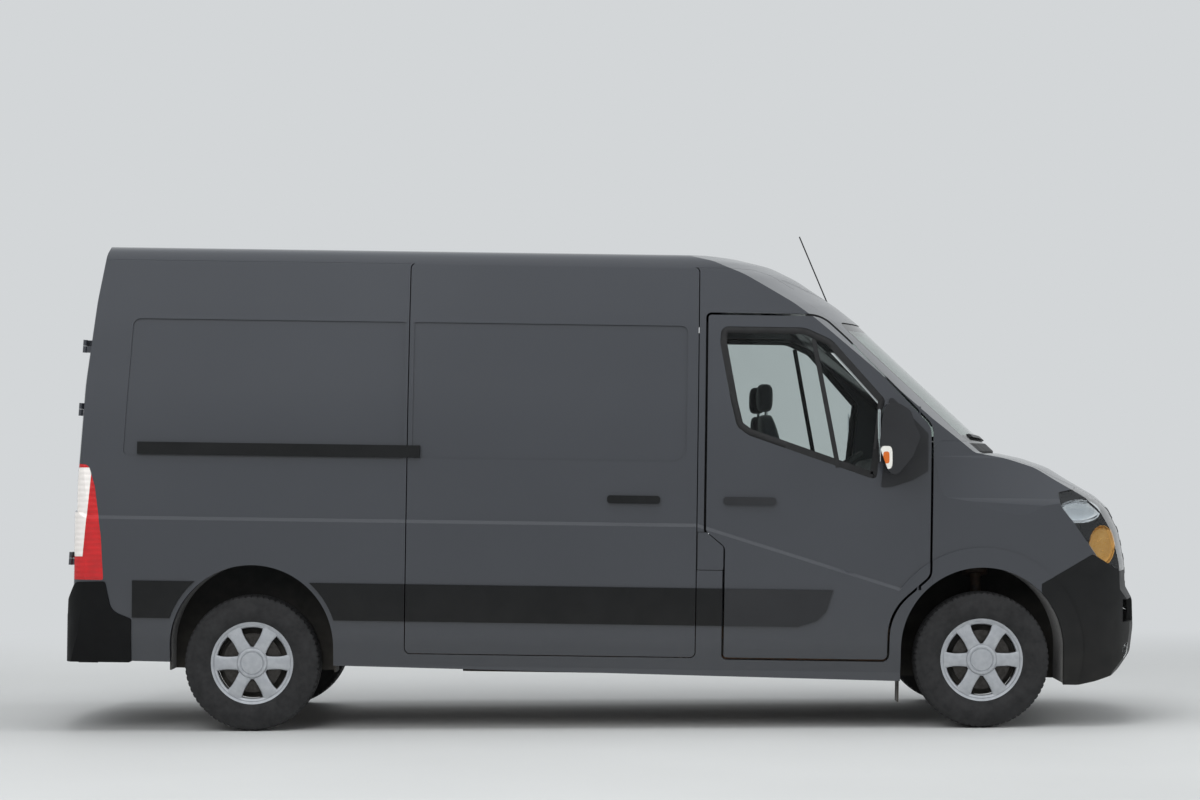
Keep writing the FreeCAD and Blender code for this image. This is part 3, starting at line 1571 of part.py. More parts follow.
def chassis_rails():
    """Two rails under the floor, tied by cross members, with the boss of the towing eye."""
    top = size("floor_top") - size("floor_thickness") - size("seat_gap")
    half, low = size("rail_width") / 2, top - size("rail_height")
    start, end = [along(share) for share in RAIL_END_SHARES]
    parts = []
    for side in (-1, 1):
        y = side * size("rail_spread")
        parts.append(box("rail_%d" % (side + 1), (start, y - half, low), (end, y + half, top)))
    middle = cross_member_foot()
    for index, share in enumerate(CROSS_MEMBER_SHARES):
        x, spread = along(share), size("rail_spread")
        parts.append(box("cross_member_%d" % index, (x - half, -spread, middle), (x + half, spread, top)))
    frame = fuse("rails", *parts, *tow_boss(low))
    return cut("chassis_rails", frame, tow_bar("tow_hole", "tow_hole_depth", "tow_hole_radius"))


def tow_bar(name, length, radius):
    """Round solid ahead of the mouth of the towing eye's hole."""
    x, y, z = -size("tow_boss_back"), -size("rail_spread"), size("tow_boss_level")
    return rod(name, (x, y, z), (x + size(length), y, z), "Sizes." + radius)


def tow_boss(rail_low):
    """Boss for the towing eye, hung from the right rail by a web."""
    y, z = -size("rail_spread"), size("tow_boss_level")
    half = size("tow_hole_radius")
    end = -size("tow_boss_back") + size("tow_boss_length")
    web = box("tow_web", (end - size("tow_web_length"), y - half, z + half), (end, y + half, rail_low))
    return [tow_bar("tow_boss", "tow_boss_length", "tow_boss_radius"), web]


def build_walls():
    """Bulkhead behind the seats and firewall ahead of the dashboard."""
    seat = size("seat_gap")
    ring = both_halves(front_corners(BULKHEAD_SHARES))
    bulkhead = doc.addObject("Part::Extrusion", "bulkhead_plate")
    bulkhead.Base = sketch("bulkhead", "YZ", ring)
    bulkhead.Base.Placement = Placement(Vector(size("bulkhead_station"), 0, 0), PLANES["YZ"])
    bulkhead.DirMode = "Custom"
    bulkhead.Dir = NORMALS["YZ"]
    bulkhead.Solid = True
    bind(bulkhead, "LengthFwd", "Sizes.bulkhead_thickness")
    floor_line = box("bulkhead_foot", (0, -wide_reach(), 0), (along(1), wide_reach(), size("floor_top") + seat))
    body_node("bulkhead", cut("bulkhead_cut", bulkhead, floor_line))
    x, low = size("firewall_station"), size("floor_top") - size("floor_thickness")
    plate = box("firewall_block", (x, -wide_reach(), low),
                (x + size("firewall_thickness"), wide_reach(), up(COWL_LOW_SHARE)))
    liner = size("arch_radius") + size("arch_liner") + seat
    house = wheel_house("firewall_house", True, liner, size("front_house_inner") - seat)
    body_node("firewall", cut("firewall", inside_nose("firewall_piece", plate, size("nose_wall") + seat), house))


def build_liners():
    """Liner of each wheel house: a bent sheet with a wall on its inner side."""
    thick, seat = size("arch_liner"), size("seat_gap")
    blanks = []
    for name, on_front, inner in (("front_liner", True, "front_house_inner"),
                                  ("rear_liner", False, "rear_house_inner")):
        outer = wheel_house(name + "_outer", on_front, size("arch_radius") + thick, size(inner))
        space = wheel_house(name + "_space", on_front, size("arch_radius"), size(inner) + thick)
        under = box(name + "_under", (-rear_reach(), -wide_reach(), 2 * low_level()),
                    (front_reach(), wide_reach(), size("skirt_level")))
        blanks.append(cut(name, outer, space, under))
    x = arch_centre(True)[0]
    half, top = size("strut_slot_half"), size("strut_slot_top")
    slot = box("strut_slot", (x - half, -size("strut_slot_width"), 0), (x + half, size("strut_slot_width"), top))
    holes = [kingpin_rod("strut_hole_%d" % i, side, "Sizes.strut_hole_radius") for i, side in enumerate((-1, 1))]
    front = inside_nose("front_liner_fitted", blanks[0], size("nose_wall") + seat)
    reach = x - size("arch_radius") * LINER_SILL_SHARE
    sill = box("liner_sill_right", (0, -wide_reach(), 0), (reach, -size("flap_outer"), size("liner_sill_top")))
    sills = both_sides("liner_sills", sill)
    front = cut("front_liners", front, slot, *holes, door_space("liner_door_space"), sills)
    half = size("beam_slot_half")
    wide = size("strut_slot_width") + size("rear_house_inner") - size("front_house_inner")
    slot = box("beam_slot", (-half, -wide, 0), (half, wide, top + half))
    rear = inside_walls("rear_liner_fitted", blanks[1], size("side_wall") + seat)
    body_node("arch_liners", fuse("arch_liners", front, mud_flaps(), cut("rear_liners", rear, slot)))


def mud_flaps():
    """Flaps that hang from the rear edges of the front arch liners."""
    x = arch_centre(True)[0] - size("arch_radius")
    foot, top = size("flap_foot"), size("skirt_level")
    right = box("mud_flap_right", (x - size("flap_sheet"), -size("flap_outer"), foot), (x, -size("flap_inner"), top))
    return both_sides("mud_flaps", right)


def kingpin_points(side, in_body):
    """Foot and head of the steering axis of a front wheel, in the body's or the ground's frame."""
    rest = size("tyre_radius")
    foot = Vector(size("wheelbase"), side * size("kingpin_foot_out"), rest - size("kingpin_foot_drop"))
    head = Vector(size("wheelbase"), side * size("kingpin_head_out"), rest + size("kingpin_head_rise"))
    if in_body:
        turn = Rotation(Vector(0, 1, 0), -size("body_rake"))
        back = Placement(Vector(), turn, Vector(0, 0, rest))
        return back.multVec(foot), back.multVec(head)
    shift = Vector(size("wheelbase"), 0, 0)
    return foot - shift, head - shift


def kingpin_rod(name, side, radius):
    """Round solid along a steering axis, past its head, in the body's frame."""
    foot, head = kingpin_points(side, True)
    beyond = (head - foot).normalize() * size("tyre_radius")
    return rod(name, tuple(foot), tuple(head + beyond), radius)


def strut_towers():
    """Capped tubes on the front arch liners that hold the heads of the struts."""
    seat, wall = size("seat_gap"), size("tower_wall")
    liner = size("arch_radius") + size("arch_liner") + seat
    tubes = []
    for index, side in enumerate((-1, 1)):
        foot, head = kingpin_points(side, True)
        up_axis = (head - foot).normalize()
        low = head - up_axis * size("coil_length")
        top = head + up_axis * (seat + wall)
        name = "tower_%d" % index
        solid = rod(name + "_outside", tuple(low), tuple(top), "Sizes.strut_hole_radius + Sizes.tower_wall")
        hollow = rod(name + "_hollow", tuple(low), tuple(head + up_axis * seat), "Sizes.strut_hole_radius")
        house = wheel_house(name + "_house", True, liner, size("front_house_inner") - seat)
        tubes.append(cut(name, solid, hollow, house))
    return fuse("strut_towers", *tubes)


def block(name, shares):
    """Block between two corners given in shares of the van's length, half width and height."""
    low, high = shares
    return box(name, (along(low[0]), across(low[1]), up(low[2])), (along(high[0]), across(high[1]), up(high[2])))


def front_subframe():
    """Front cross member with the lower arms and their ball joints."""
    low, high = SUBFRAME_SHARES
    member = block("subframe_member", ((low[0], -low[1], low[2]), high))
    parts = [member]
    for index, side in enumerate((-1, 1)):
        foot, head = kingpin_points(side, True)
        down = (foot - head).normalize()
        top = foot + down * size("seat_gap")
        ball = top + down * size("ball_length")
        middle = top + down * (size("ball_length") * ARM_DEPTH_SHARE)
        parts.append(rod("ball_joint_%d" % index, tuple(top), tuple(ball), "Sizes.ball_radius"))
        for way in (-1, 1):
            root = (foot.x + way * size("rail_width"), side * across(ARM_ROOT_SHARES[0]), up(ARM_ROOT_SHARES[1]))
            parts.append(rod("arm_%d_%d" % (index, way + 1), root, tuple(middle), "Sizes.arm_radius"))
    return fuse("front_subframe", *parts)


def build_heavy_blocks():
    """Engine block and fuel tank."""
    body_node("engine_block", block("engine_block", ENGINE_SHARES))
    body_node("fuel_tank", block("fuel_tank", TANK_SHARES))


def build_exhaust():
    """Exhaust pipe along one side of the propeller tunnel, with its silencer."""
    y = across(EXHAUST_SIDE_SHARE)
    corners = [(along(a), up(b), up(EXHAUST_BEND_SHARE)) for a, b in EXHAUST_ROUTE_SHARES]
    route = doc.addObject("Sketcher::SketchObject", "exhaust_route")
    route.Placement = Placement(Vector(0, y, 0), PLANES["XZ"])
    for edge in open_edges(corners):
        route.addGeometry(edge, False)
    ring = doc.addObject("Sketcher::SketchObject", "exhaust_ring")
    ring.Placement = Placement(Vector(corners[0][0], y, corners[0][1]), PLANES["YZ"])
    ring.addGeometry(Part.Circle(Vector(), Vector(0, 0, 1), size("exhaust_radius")), False)
    pipe = doc.addObject("Part::Sweep", "exhaust_pipe")
    pipe.Sections = [ring]
    pipe.Spine = (route, [])
    pipe.Solid = True
    start, end = SILENCER_SHARES
    level = corners[0][1]
    silencer = rod("silencer", (along(start), y, level), (along(end), y, level), "Sizes.silencer_radius")
    half, top = size("hanger_half"), cross_member_foot() - size("seat_gap")
    hangers = []
    for index, share in enumerate(CROSS_MEMBER_SHARES):
        x = along(share)
        hangers.append(box("exhaust_hanger_%d" % index, (x - half, y - half, level), (x + half, y + half, top)))
    body_node("exhaust", fuse("exhaust", pipe, silencer, *hangers))


def open_edges(corners):
    """Lines and arcs of an open route, each bend rounded by its radius."""
    first, last = corners[0], corners[-1]
    ring = [first[:2] + (0,)] + corners[1:-1] + [last[:2] + (0,)]
    return outline_edges(ring)[:-1]


def build_aerial(v):
    """Roof aerial: a short mast that stands on the roof's front slope."""
    (x, z), (end_x, end_z) = AERIAL_SHARES
    start = Vector(along(x), 0, up(z))
    stop = Vector(along(end_x), 0, up(end_z))
    mast = rod("aerial_mast", tuple(start), tuple(stop), "Sizes.aerial_radius")
    body_node("aerial", cut("aerial", mast, v["outer"]))


def build_interior():
    """Dashboard, seats on their bases, steering wheel and its column."""
    seat = size("seat_gap")
    clear = across(DASH_WIDTH_SHARE)
    limit = box("dash_limit", (0, -clear, 0), (front_reach(), clear, up(1)))
    dash = common("dash_piece", side_region("dash_profile", DASH_SHARES), limit)
    wall = box("dash_wall", (size("firewall_station") - seat, -clear, 0),
               (size("firewall_station") + size("firewall_thickness"), clear, up(COWL_LOW_SHARE) + seat))
    hole = column_rod("column_hole", "Sizes.column_radius + Sizes.seat_gap")
    column = column_rod("steering_column", "Sizes.column_radius")
    body_node("dashboard", fuse("dashboard", cut("dash_cut", dash, wall, hole), column))
    bases, pads = [], []
    for index, (low, high) in enumerate(SEAT_SPAN_SHARES):
        a, b = across(low), across(high)
        edge = (b - a) * SEAT_EDGE_SHARE
        bases.append(spanned("seat_base_%d" % index, SEAT_BASE_SHARES, a + edge, b - edge))
        pads.append(spanned("cushion_%d" % index, CUSHION_SHARES, a, b))
        pads.append(spanned("backrest_%d" % index, BACKREST_SHARES, a, b))
        edge = (b - a) * HEADREST_EDGE_SHARE
        pads.append(spanned("headrest_%d" % index, HEADREST_SHARES, a + edge, b - edge))
    body_node("seat_bases", fuse("seat_bases", *bases))
    body_node("seats", fuse("seats", *pads))
    build_steering_wheel()


def spanned(name, table, low, high):
    """Side outline run between two distances from the middle plane."""
    span = box(name + "_span", (0, low, 0), (along(1), high, up(1)))
    return common(name, side_region(name + "_profile", table), span)


def column_place():
    """Middle of the steering wheel, with its axis tilted towards the driver."""
    x, y, z = STEERING_SHARES
    centre = Vector(along(x), across(y), up(z))
    return Placement(centre, Rotation(Vector(0, 1, 0), -size("column_tilt")))


def column_rod(name, radius):
    """Steering column, below the wheel's boss."""
    place = column_place()
    down = place.Rotation.multVec(Vector(0, 0, -1))
    start = place.Base + down * (size("steering_rim_radius") * 2 + size("seat_gap"))
    return rod(name, tuple(start), tuple(start + down * size("column_length")), radius)


def build_steering_wheel():
    """Steering wheel: rim, boss and three spokes."""
    rim, ring_radius = size("steering_wheel_radius"), size("steering_rim_radius")
    ring = doc.addObject("Part::Torus", "steering_rim")
    bind(ring, "Radius1", "Sizes.steering_wheel_radius")
    bind(ring, "Radius2", "Sizes.steering_rim_radius")
    boss = rod("steering_boss", (0, 0, -2 * ring_radius), (0, 0, ring_radius), "Sizes.steering_boss_radius")
    spokes = []
    for index, turn in enumerate(STEERING_SPOKE_TURNS):
        spoke = box("steering_spoke_%d" % index, (0, -ring_radius, -ring_radius / 2),
                    (rim, ring_radius, ring_radius / 2))
        spoke.Placement = Placement(Vector(), Rotation(Vector(0, 0, 1), turn)).multiply(spoke.Placement)
        spokes.append(spoke)
    wheel = fuse("steering_wheel", ring, boss, *spokes)
    node("steering_wheel", wheel, body_placement().multiply(column_place()))


def origin_plane(body, role):
    """Main plane of a body's own origin."""
    return [item for item in body.Origin.OriginFeatures if item.Role == role][0]


def body_sketch(body, name, role, corners):
    """Closed outline on one of a body's own main planes."""
    item = body.newObject("Sketcher::SketchObject", name)
    item.AttachmentSupport = [(origin_plane(body, role), "")]
    item.MapMode = "FlatFace"
    for edge in outline_edges(corners):
        item.addGeometry(edge, False)
    return item


def revolved(name, corners):
    """Body turned about its own wheel axis."""
    body = doc.addObject("PartDesign::Body", name)
    outline = body_sketch(body, name + "_profile", "YZ_Plane", corners)
    turn = body.newObject("PartDesign::Revolution", name + "_revolution")
    turn.Profile = outline
    turn.ReferenceAxis = (outline, ["H_Axis"])
    turn.Angle = 360
    body.Tip = turn
    return body


def tyre_profile():
    """Section of a tyre: bead, bulging wall, shoulder and tread."""
    half = size("tyre_width") / 2
    inner = size("rim_radius") + size("seat_gap")
    depth = size("tyre_radius") - inner
    return [(half * a, inner + depth * b, 0) for a, b, _ in TYRE_SHARES]


def wheel_profile():
    """Section of a wheel: rim with its lips, face, cap, hub with its bore and brake disc."""
    half, lip, barrel = size("rim_width") / 2, size("rim_lip"), size("rim_radius")
    edge, inner = barrel + size("rim_flange"), barrel - size("rim_thickness")
    back = -half + size("wheel_face")
    bore_end = -half + size("hub_depth")
    disc = bore_end + size("brake_thickness")
    hub_end = bore_end + size("hub_length")
    bore, hub = size("spindle_radius") + size("running_gap"), size("hub_radius")
    return [
        (-half, edge, 0),
        (-half + lip, edge, 0),
        (-half + lip, barrel, 0),
        (half - lip, barrel, 0),
        (half - lip, edge, 0),
        (half, edge, 0),
        (half, inner, 0),
        (back, inner, 0),
        (back, hub, 0),
        (bore_end, hub, 0),
        (bore_end, size("brake_radius"), 0),
        (disc, size("brake_radius"), 0),
        (disc, hub, 0),
        (hub_end, hub, 0),
        (hub_end, bore, 0),
        (bore_end, bore, 0),
        (bore_end, 0, 0),
        (-half - size("cap_rise"), 0, 0),
        (-half - size("cap_rise"), size("cap_radius") - size("cap_rise"), 0),
        (-half, size("cap_radius"), 0),
    ]


def opening_corners():
    """Corners of the opening between two spokes, upright from the wheel's middle."""
    turn = math.pi / size("spoke_count")
    low, high = size("opening_low"), size("opening_high")
    shift = size("spoke_width") / 2 / math.cos(turn)
    near, far = low * math.tan(turn) - shift, high * math.tan(turn) - shift
    radius = near * OPENING_CORNER_SHARE
    return [(-near, low, radius), (near, low, radius), (far, high, radius), (-far, high, radius)]


def wheel(name):
    """Wheel with openings between its spokes."""
    body = revolved(name, wheel_profile())
    outline = body_sketch(body, name + "_opening", "XZ_Plane", opening_corners())
    opening = body.newObject("PartDesign::Pocket", name + "_pocket")
    opening.Profile = outline
    opening.Type = "ThroughAll"
    opening.Midplane = True
    pattern = body.newObject("PartDesign::PolarPattern", name + "_openings")
    pattern.Originals = [opening]
    pattern.Axis = (outline, ["N_Axis"])
    pattern.Angle = 360
    bind(pattern, "Occurrences", "Sizes.spoke_count")
    body.Tip = pattern
    return body


def build_wheels():
    """Four wheels with their tyres, each outside facing outwards."""
    for on_front, end in ((True, "front"), (False, "rear")):
        half_track = size("front_track" if on_front else "rear_track") / 2
        for side, hand in ((-1, "right"), (1, "left")):
            place = ground_placement(on_front)
            place.Base = place.Base + Vector(0, side * half_track, size("tyre_radius"))
            place.Rotation = Rotation(Vector(0, 0, 1), 0 if side < 0 else 180)
            node("wheel_%s_%s" % (end, hand), wheel("wheel_%s_%s" % (end, hand)), place)
            tyre = revolved("tyre_%s_%s" % (end, hand), tyre_profile())
            node("tyre_%s_%s" % (end, hand), tyre, place)


def spindle_end(half_track):
    """Outer end of a spindle in its hub."""
    return half_track + size("rim_width") / 2 - size("hub_depth") - size("seat_gap")


def build_knuckles():
    """Steering knuckles: an upright on the steering axis, with strut, coil and spindle."""
    rest = size("tyre_radius")
    foot, head = kingpin_points(-1, False)
    axis = (head - foot).normalize()
    strut = rod("strut", tuple(foot), tuple(head), "Sizes.strut_radius")
    coil_end = head - axis * size("tower_wall")
    coil = rod("coil", tuple(coil_end - axis * size("coil_length")), tuple(coil_end), "Sizes.coil_radius")
    half, depth = size("upright_half"), size("upright_depth")
    hub_y = foot.y + axis.y / axis.z * (rest - foot.z)
    upright = box("upright", (-half, hub_y - depth / 2, rest - 2 * half), (half, hub_y + depth / 2, rest + 2 * half))
    spindle = rod("spindle", (0, hub_y, rest), (0, -spindle_end(size("front_track") / 2), rest),
                  "Sizes.spindle_radius")
    knuckle = fuse("knuckle", strut, coil, upright, spindle)
    node("knuckle_right", knuckle, ground_placement(True))
    node("knuckle_left", mirror("knuckle_image", knuckle))


def build_rear_axle():
    """Rear beam axle with a spindle at each end, on two leaf springs."""
    rest = size("tyre_radius")
    half_track = size("rear_track") / 2
    inner = half_track - size("rim_width") / 2
    beam = rod("rear_beam", (0, -inner, rest), (0, inner, rest), "Sizes.beam_radius")
    end = spindle_end(half_track)
    spindles = rod("rear_spindles", (0, -end, rest), (0, end, rest), "Sizes.spindle_radius")
    springs = []
    for index, side in enumerate((-1, 1)):
        y = side * across(SPRING_PLACE_SHARE)
        half = size("spring_width") / 2
        springs.append(spanned_spring("leaf_spring_%d" % index, y - half, y + half))
    body_node("rear_axle", fuse("rear_axle", beam, spindles, *springs))


def spanned_spring(name, low, high):
    """Leaf spring between two distances from the middle plane."""
    span = box(name + "_span", (-rear_reach(), low, 0), (along(1), high, up(1)))
    return common(name, side_region(name + "_profile", SPRING_SHARES), span)


def build_van():
    """Every sub-part of the van."""
    v = build_volumes()
    build_body_sides(v)
    build_roof(v)
    build_front_doors(v)
    build_rear_doors(v)
    build_bonnet(v)
    build_nose(v)
    build_lamps(v)
    build_windscreen()
    build_strips(v)
    build_door_trim(v)
    build_rear_bumper()
    build_flap(v)
    build_floor()
    build_underframe()
    build_walls()
    build_liners()
    build_heavy_blocks()
    build_exhaust()
    build_interior()
    build_wheels()
    build_knuckles()
    build_rear_axle()
    build_aerial(v)


def check_and_write():
    """Stop on any failed object, then write each sub-part to its own file."""
    faults = [item.Name for item in doc.Objects if {"Invalid", "Error"} & set(item.State)]
    for item in nodes:
        if item.Shape.isNull() or not item.Shape.isValid():
            faults.append(item.Label)
    if faults:
        raise SystemExit("failed: " + ", ".join(faults))
    os.makedirs("parts", exist_ok=True)
    for item in nodes:
        item.Shape.exportStep("parts/%s.step" % item.Label)


fill_sheet()
build_van()
doc.recompute()
check_and_write()
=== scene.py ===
import logging
import math
from dataclasses import dataclass
from enum import Enum
from typing import Callable

import bmesh
import bpy
import numpy as np
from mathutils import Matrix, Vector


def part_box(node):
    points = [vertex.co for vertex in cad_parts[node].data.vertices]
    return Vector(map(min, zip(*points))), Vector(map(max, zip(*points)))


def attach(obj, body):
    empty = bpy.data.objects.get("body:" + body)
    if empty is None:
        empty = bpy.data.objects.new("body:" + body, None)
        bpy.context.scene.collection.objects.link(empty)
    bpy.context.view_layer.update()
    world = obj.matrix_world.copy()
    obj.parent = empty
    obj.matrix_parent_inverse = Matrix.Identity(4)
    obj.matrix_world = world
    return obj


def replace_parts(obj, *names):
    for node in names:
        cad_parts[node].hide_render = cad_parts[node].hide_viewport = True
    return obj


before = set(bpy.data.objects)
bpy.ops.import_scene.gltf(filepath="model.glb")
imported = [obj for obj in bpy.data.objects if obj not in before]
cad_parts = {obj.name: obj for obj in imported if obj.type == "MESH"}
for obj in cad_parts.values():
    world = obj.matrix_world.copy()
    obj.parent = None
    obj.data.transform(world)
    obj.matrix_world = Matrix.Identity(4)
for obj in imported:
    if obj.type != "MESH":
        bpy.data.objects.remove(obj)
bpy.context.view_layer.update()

LOG = logging.getLogger("panel_van")
Array = np.ndarray
Pair, Place = tuple[float, float], tuple[float, float, float]
# Points and quads of one shell.
Shell = tuple[Array, Array]
Tree, Socket, Node = bpy.types.NodeTree, bpy.types.NodeSocket, bpy.types.Node
Object, Mesh, Material = bpy.types.Object, bpy.types.Mesh, bpy.types.Material

# Length of one wave of Blender's wave texture at a scale of one, in radians.
WAVE = 6.2832
# Edges sharper than this many degrees shade as edges.
SHARP_EDGE = 40
# Distance from the van's middle, beyond nose and tail, from which lines are cast onto it.
AHEAD = 4.0
# Pale grey behind the van, road dust, fired ceramic, and the two parts of a side lamp.
BACKDROP, DUST, CERAMIC = "#D3D6D8", "#8B8478", "#0C0D0E"
CLEAR_LENS, AMBER_LENS = "#DDDCD6", "#C8631C"
NOSE_DOWN = math.radians(1.08)
REAR_AXLE_X = -1.76106
AXLE_HEIGHT = 0.343


class Side(Enum):
    """Side of the van, as the sign of its distance from the middle plane."""

    RIGHT = -1
    LEFT = 1

    @property
    def word(self) -> str:
        """Name of the side in node and body names."""
        return self.name.lower()


class Axle(Enum):
    """Axle that a wheel turns on."""

    FRONT = "front"
    REAR = "rear"


def linear(code: str) -> tuple[float, float, float, float]:
    """Linear colour of an sRGB hex code: each channel through the sRGB curve.

    Args:
        code: Six hex digits after a hash sign.

    Returns:
        Red, green, blue and an alpha of one.
    """
    parts = [int(code[i:i + 2], 16) / 255 for i in (1, 3, 5)]
    curve = [c / 12.92 if c <= 0.04045 else ((c + 0.055) / 1.055) ** 2.4 for c in parts]
    return (*curve, 1.0)


def add(tree: Tree, kind: str, inputs: dict | None = None, **settings) -> Node:
    """Add one node with its settings, values and links.

    Args:
        tree: Node tree of a material or world.
        kind: Blender's name of the node type, without its first word ShaderNode.
        inputs: Socket name or number, with a value or the output that feeds it.
        **settings: Properties of the node.

    Returns:
        The new node.
    """
    item = tree.nodes.new(f"ShaderNode{kind}")
    for key, value in settings.items():
        setattr(item, key, value)
    for key, value in (inputs or {}).items():
        if isinstance(value, Socket):
            tree.links.new(value, item.inputs[key])
        else:
            item.inputs[key].default_value = value
    return item


def seen(tree: Tree) -> Socket:
    """One for rays to the eye, in gloss and through glass; zero for rays that only light.

    Args:
        tree: Node tree of a material or world.

    Returns:
        The share.
    """
    rays = add(tree, "LightPath").outputs
    share = rays["Is Camera Ray"]
    for kind in ("Is Transmission Ray", "Is Glossy Ray"):
        share = add(tree, "Math", {0: share, 1: rays[kind]}, operation="MAXIMUM").outputs[0]
    return share


@dataclass(frozen=True)
class Finish:
    """Surface of one real material, made of two colours in patches and a fine grain."""

    name: str
    base: str
    tint: str
    patch_mm: float = 400.0
    grain_mm: float = 3.0
    bump_mm: float = 0.05
    roughness: float = 0.5
    spread: float = 0.08
    metallic: float = 0.0
    coat: float = 0.0
    sheen: float = 0.0
    specular: float = 0.5
    dust: float = 0.0
    dust_top: float = 0.9

    def material(self) -> Material:
        """Material of this finish, made once and shared."""
        found = bpy.data.materials.get(self.name)
        if found:
            return found
        made = bpy.data.materials.new(self.name)
        made.use_nodes = True
        tree = made.node_tree
        tree.nodes.clear()
        place = add(tree, "TexCoord").outputs["Object"]
        self.shade(tree, place)
        return made

    def patches(self, tree: Tree, place: Socket) -> Socket:
        """Slow change between the two colours, from noise at the patch size."""
        noise = add(tree, "TexNoise", {"Vector": place, "Scale": 1000 / self.patch_mm, "Detail": 4.0})
        return add(tree, "MapRange", {"Value": noise.outputs["Fac"], "From Min": 0.35,
                                      "From Max": 0.65}).outputs["Result"]

    def colour(self, tree: Tree, place: Socket) -> Socket:
        """Base colour with its patches, and road dust that thins out with height."""
        mix = add(tree, "Mix", {0: self.patches(tree, place), 6: linear(self.base),
                                7: linear(self.tint)}, data_type="RGBA").outputs[2]
        if not self.dust:
            return mix
        height = add(tree, "SeparateXYZ", {"Vector": place}).outputs["Z"]
        low = add(tree, "MapRange", {"Value": height, "From Min": 0.1, "From Max": self.dust_top,
                                     "To Min": self.dust, "To Max": 0.0}).outputs["Result"]
        spots = add(tree, "TexNoise", {"Vector": place, "Scale": 14.0, "Detail": 6.0}).outputs["Fac"]
        share = add(tree, "Math", {0: low, 1: spots}, operation="MULTIPLY").outputs[0]
        return add(tree, "Mix", {0: share, 6: mix, 7: linear(DUST)}, data_type="RGBA").outputs[2]

    def rough(self, tree: Tree, place: Socket) -> Socket:
        """Roughness that drifts a little over the surface."""
        noise = add(tree, "TexNoise", {"Vector": place, "Scale": 2600 / self.patch_mm, "Detail": 5.0})
        low, high = max(self.roughness - self.spread, 0.02), min(self.roughness + self.spread, 1.0)
        return add(tree, "MapRange", {"Value": noise.outputs["Fac"], "From Min": 0.3, "From Max": 0.7,
                                      "To Min": low, "To Max": high}).outputs["Result"]

    def relief(self, tree: Tree, place: Socket) -> Socket:
        """Normal with the fine grain: noise at the grain size as a bump."""
        noise = add(tree, "TexNoise", {"Vector": place, "Scale": 1000 / self.grain_mm, "Detail": 3.0})
        return add(tree, "Bump", {"Height": noise.outputs["Fac"], "Distance": self.bump_mm / 1000,
                                  "Strength": 1.0}).outputs["Normal"]

    def shade(self, tree: Tree, place: Socket) -> Node:
        """Wire the finish into one Principled shader.

        Args:
            tree: Tree of the material.
            place: Object coordinates.

        Returns:
            The shader node.
        """
        shader = add(tree, "BsdfPrincipled", {
            "Base Color": self.colour(tree, place), "Roughness": self.rough(tree, place),
            "Normal": self.relief(tree, place), "Metallic": self.metallic,
            "Coat Weight": self.coat, "Sheen Weight": self.sheen})
        shader.inputs["Coat Roughness"].default_value = 0.04
        shader.inputs["Sheen Roughness"].default_value = 0.45
        shader.inputs["Specular IOR Level"].default_value = self.specular
        add(tree, "OutputMaterial", {"Surface": shader.outputs[0]})
        return shader


@dataclass(frozen=True)
class WovenFinish(Finish):
    """Cloth woven of two crossing sets of threads, each a row of round bumps."""

    thread_mm: float = 4.0

    def relief(self, tree: Tree, place: Socket) -> Socket:
        """Normal with the threads: the product of two crossing sine waves a thread apart."""
        waves = []
        for axis in ("Y", "Z"):
            waves.append(add(tree, "TexWave",
                             {"Vector": place, "Scale": 1000 / self.thread_mm / WAVE},
                             wave_type="BANDS", bands_direction=axis).outputs["Fac"])
        cross = add(tree, "Math", {0: waves[0], 1: waves[1]}, operation="MULTIPLY").outputs[0]
        return add(tree, "Bump", {"Height": cross, "Distance": self.bump_mm / 1000,
                                  "Strength": 0.8}).outputs["Normal"]


@dataclass(frozen=True)
class GlassFinish(Finish):
    """Toughened or laminated glass, tinted in the mass; shadow rays go straight through."""

    ior: float = 1.5
    through: str = "#9AA6A2"

    def pane(self, tree: Tree, place: Socket) -> tuple[Node, Node]:
        """Clear tinted glass; a shadow ray meets plain tinted transparency instead.

        Args:
            tree: Tree of the material.
            place: Object coordinates.

        Returns:
            The glass shader, and its mix with the transparency.
        """
        glass = add(tree, "BsdfPrincipled", {
            "Base Color": self.colour(tree, place), "Roughness": self.roughness, "IOR": self.ior,
            "Transmission Weight": 1.0, "Normal": self.relief(tree, place)})
        ray = add(tree, "LightPath").outputs["Is Shadow Ray"]
        clear = add(tree, "BsdfTransparent", {"Color": linear(self.through)})
        return glass, add(tree, "MixShader", {0: ray, 1: glass.outputs[0], 2: clear.outputs[0]})

    def shade(self, tree: Tree, place: Socket) -> Node:
        """Wire the pane to the output."""
        glass, pane = self.pane(tree, place)
        add(tree, "OutputMaterial", {"Surface": pane.outputs[0]})
        return glass


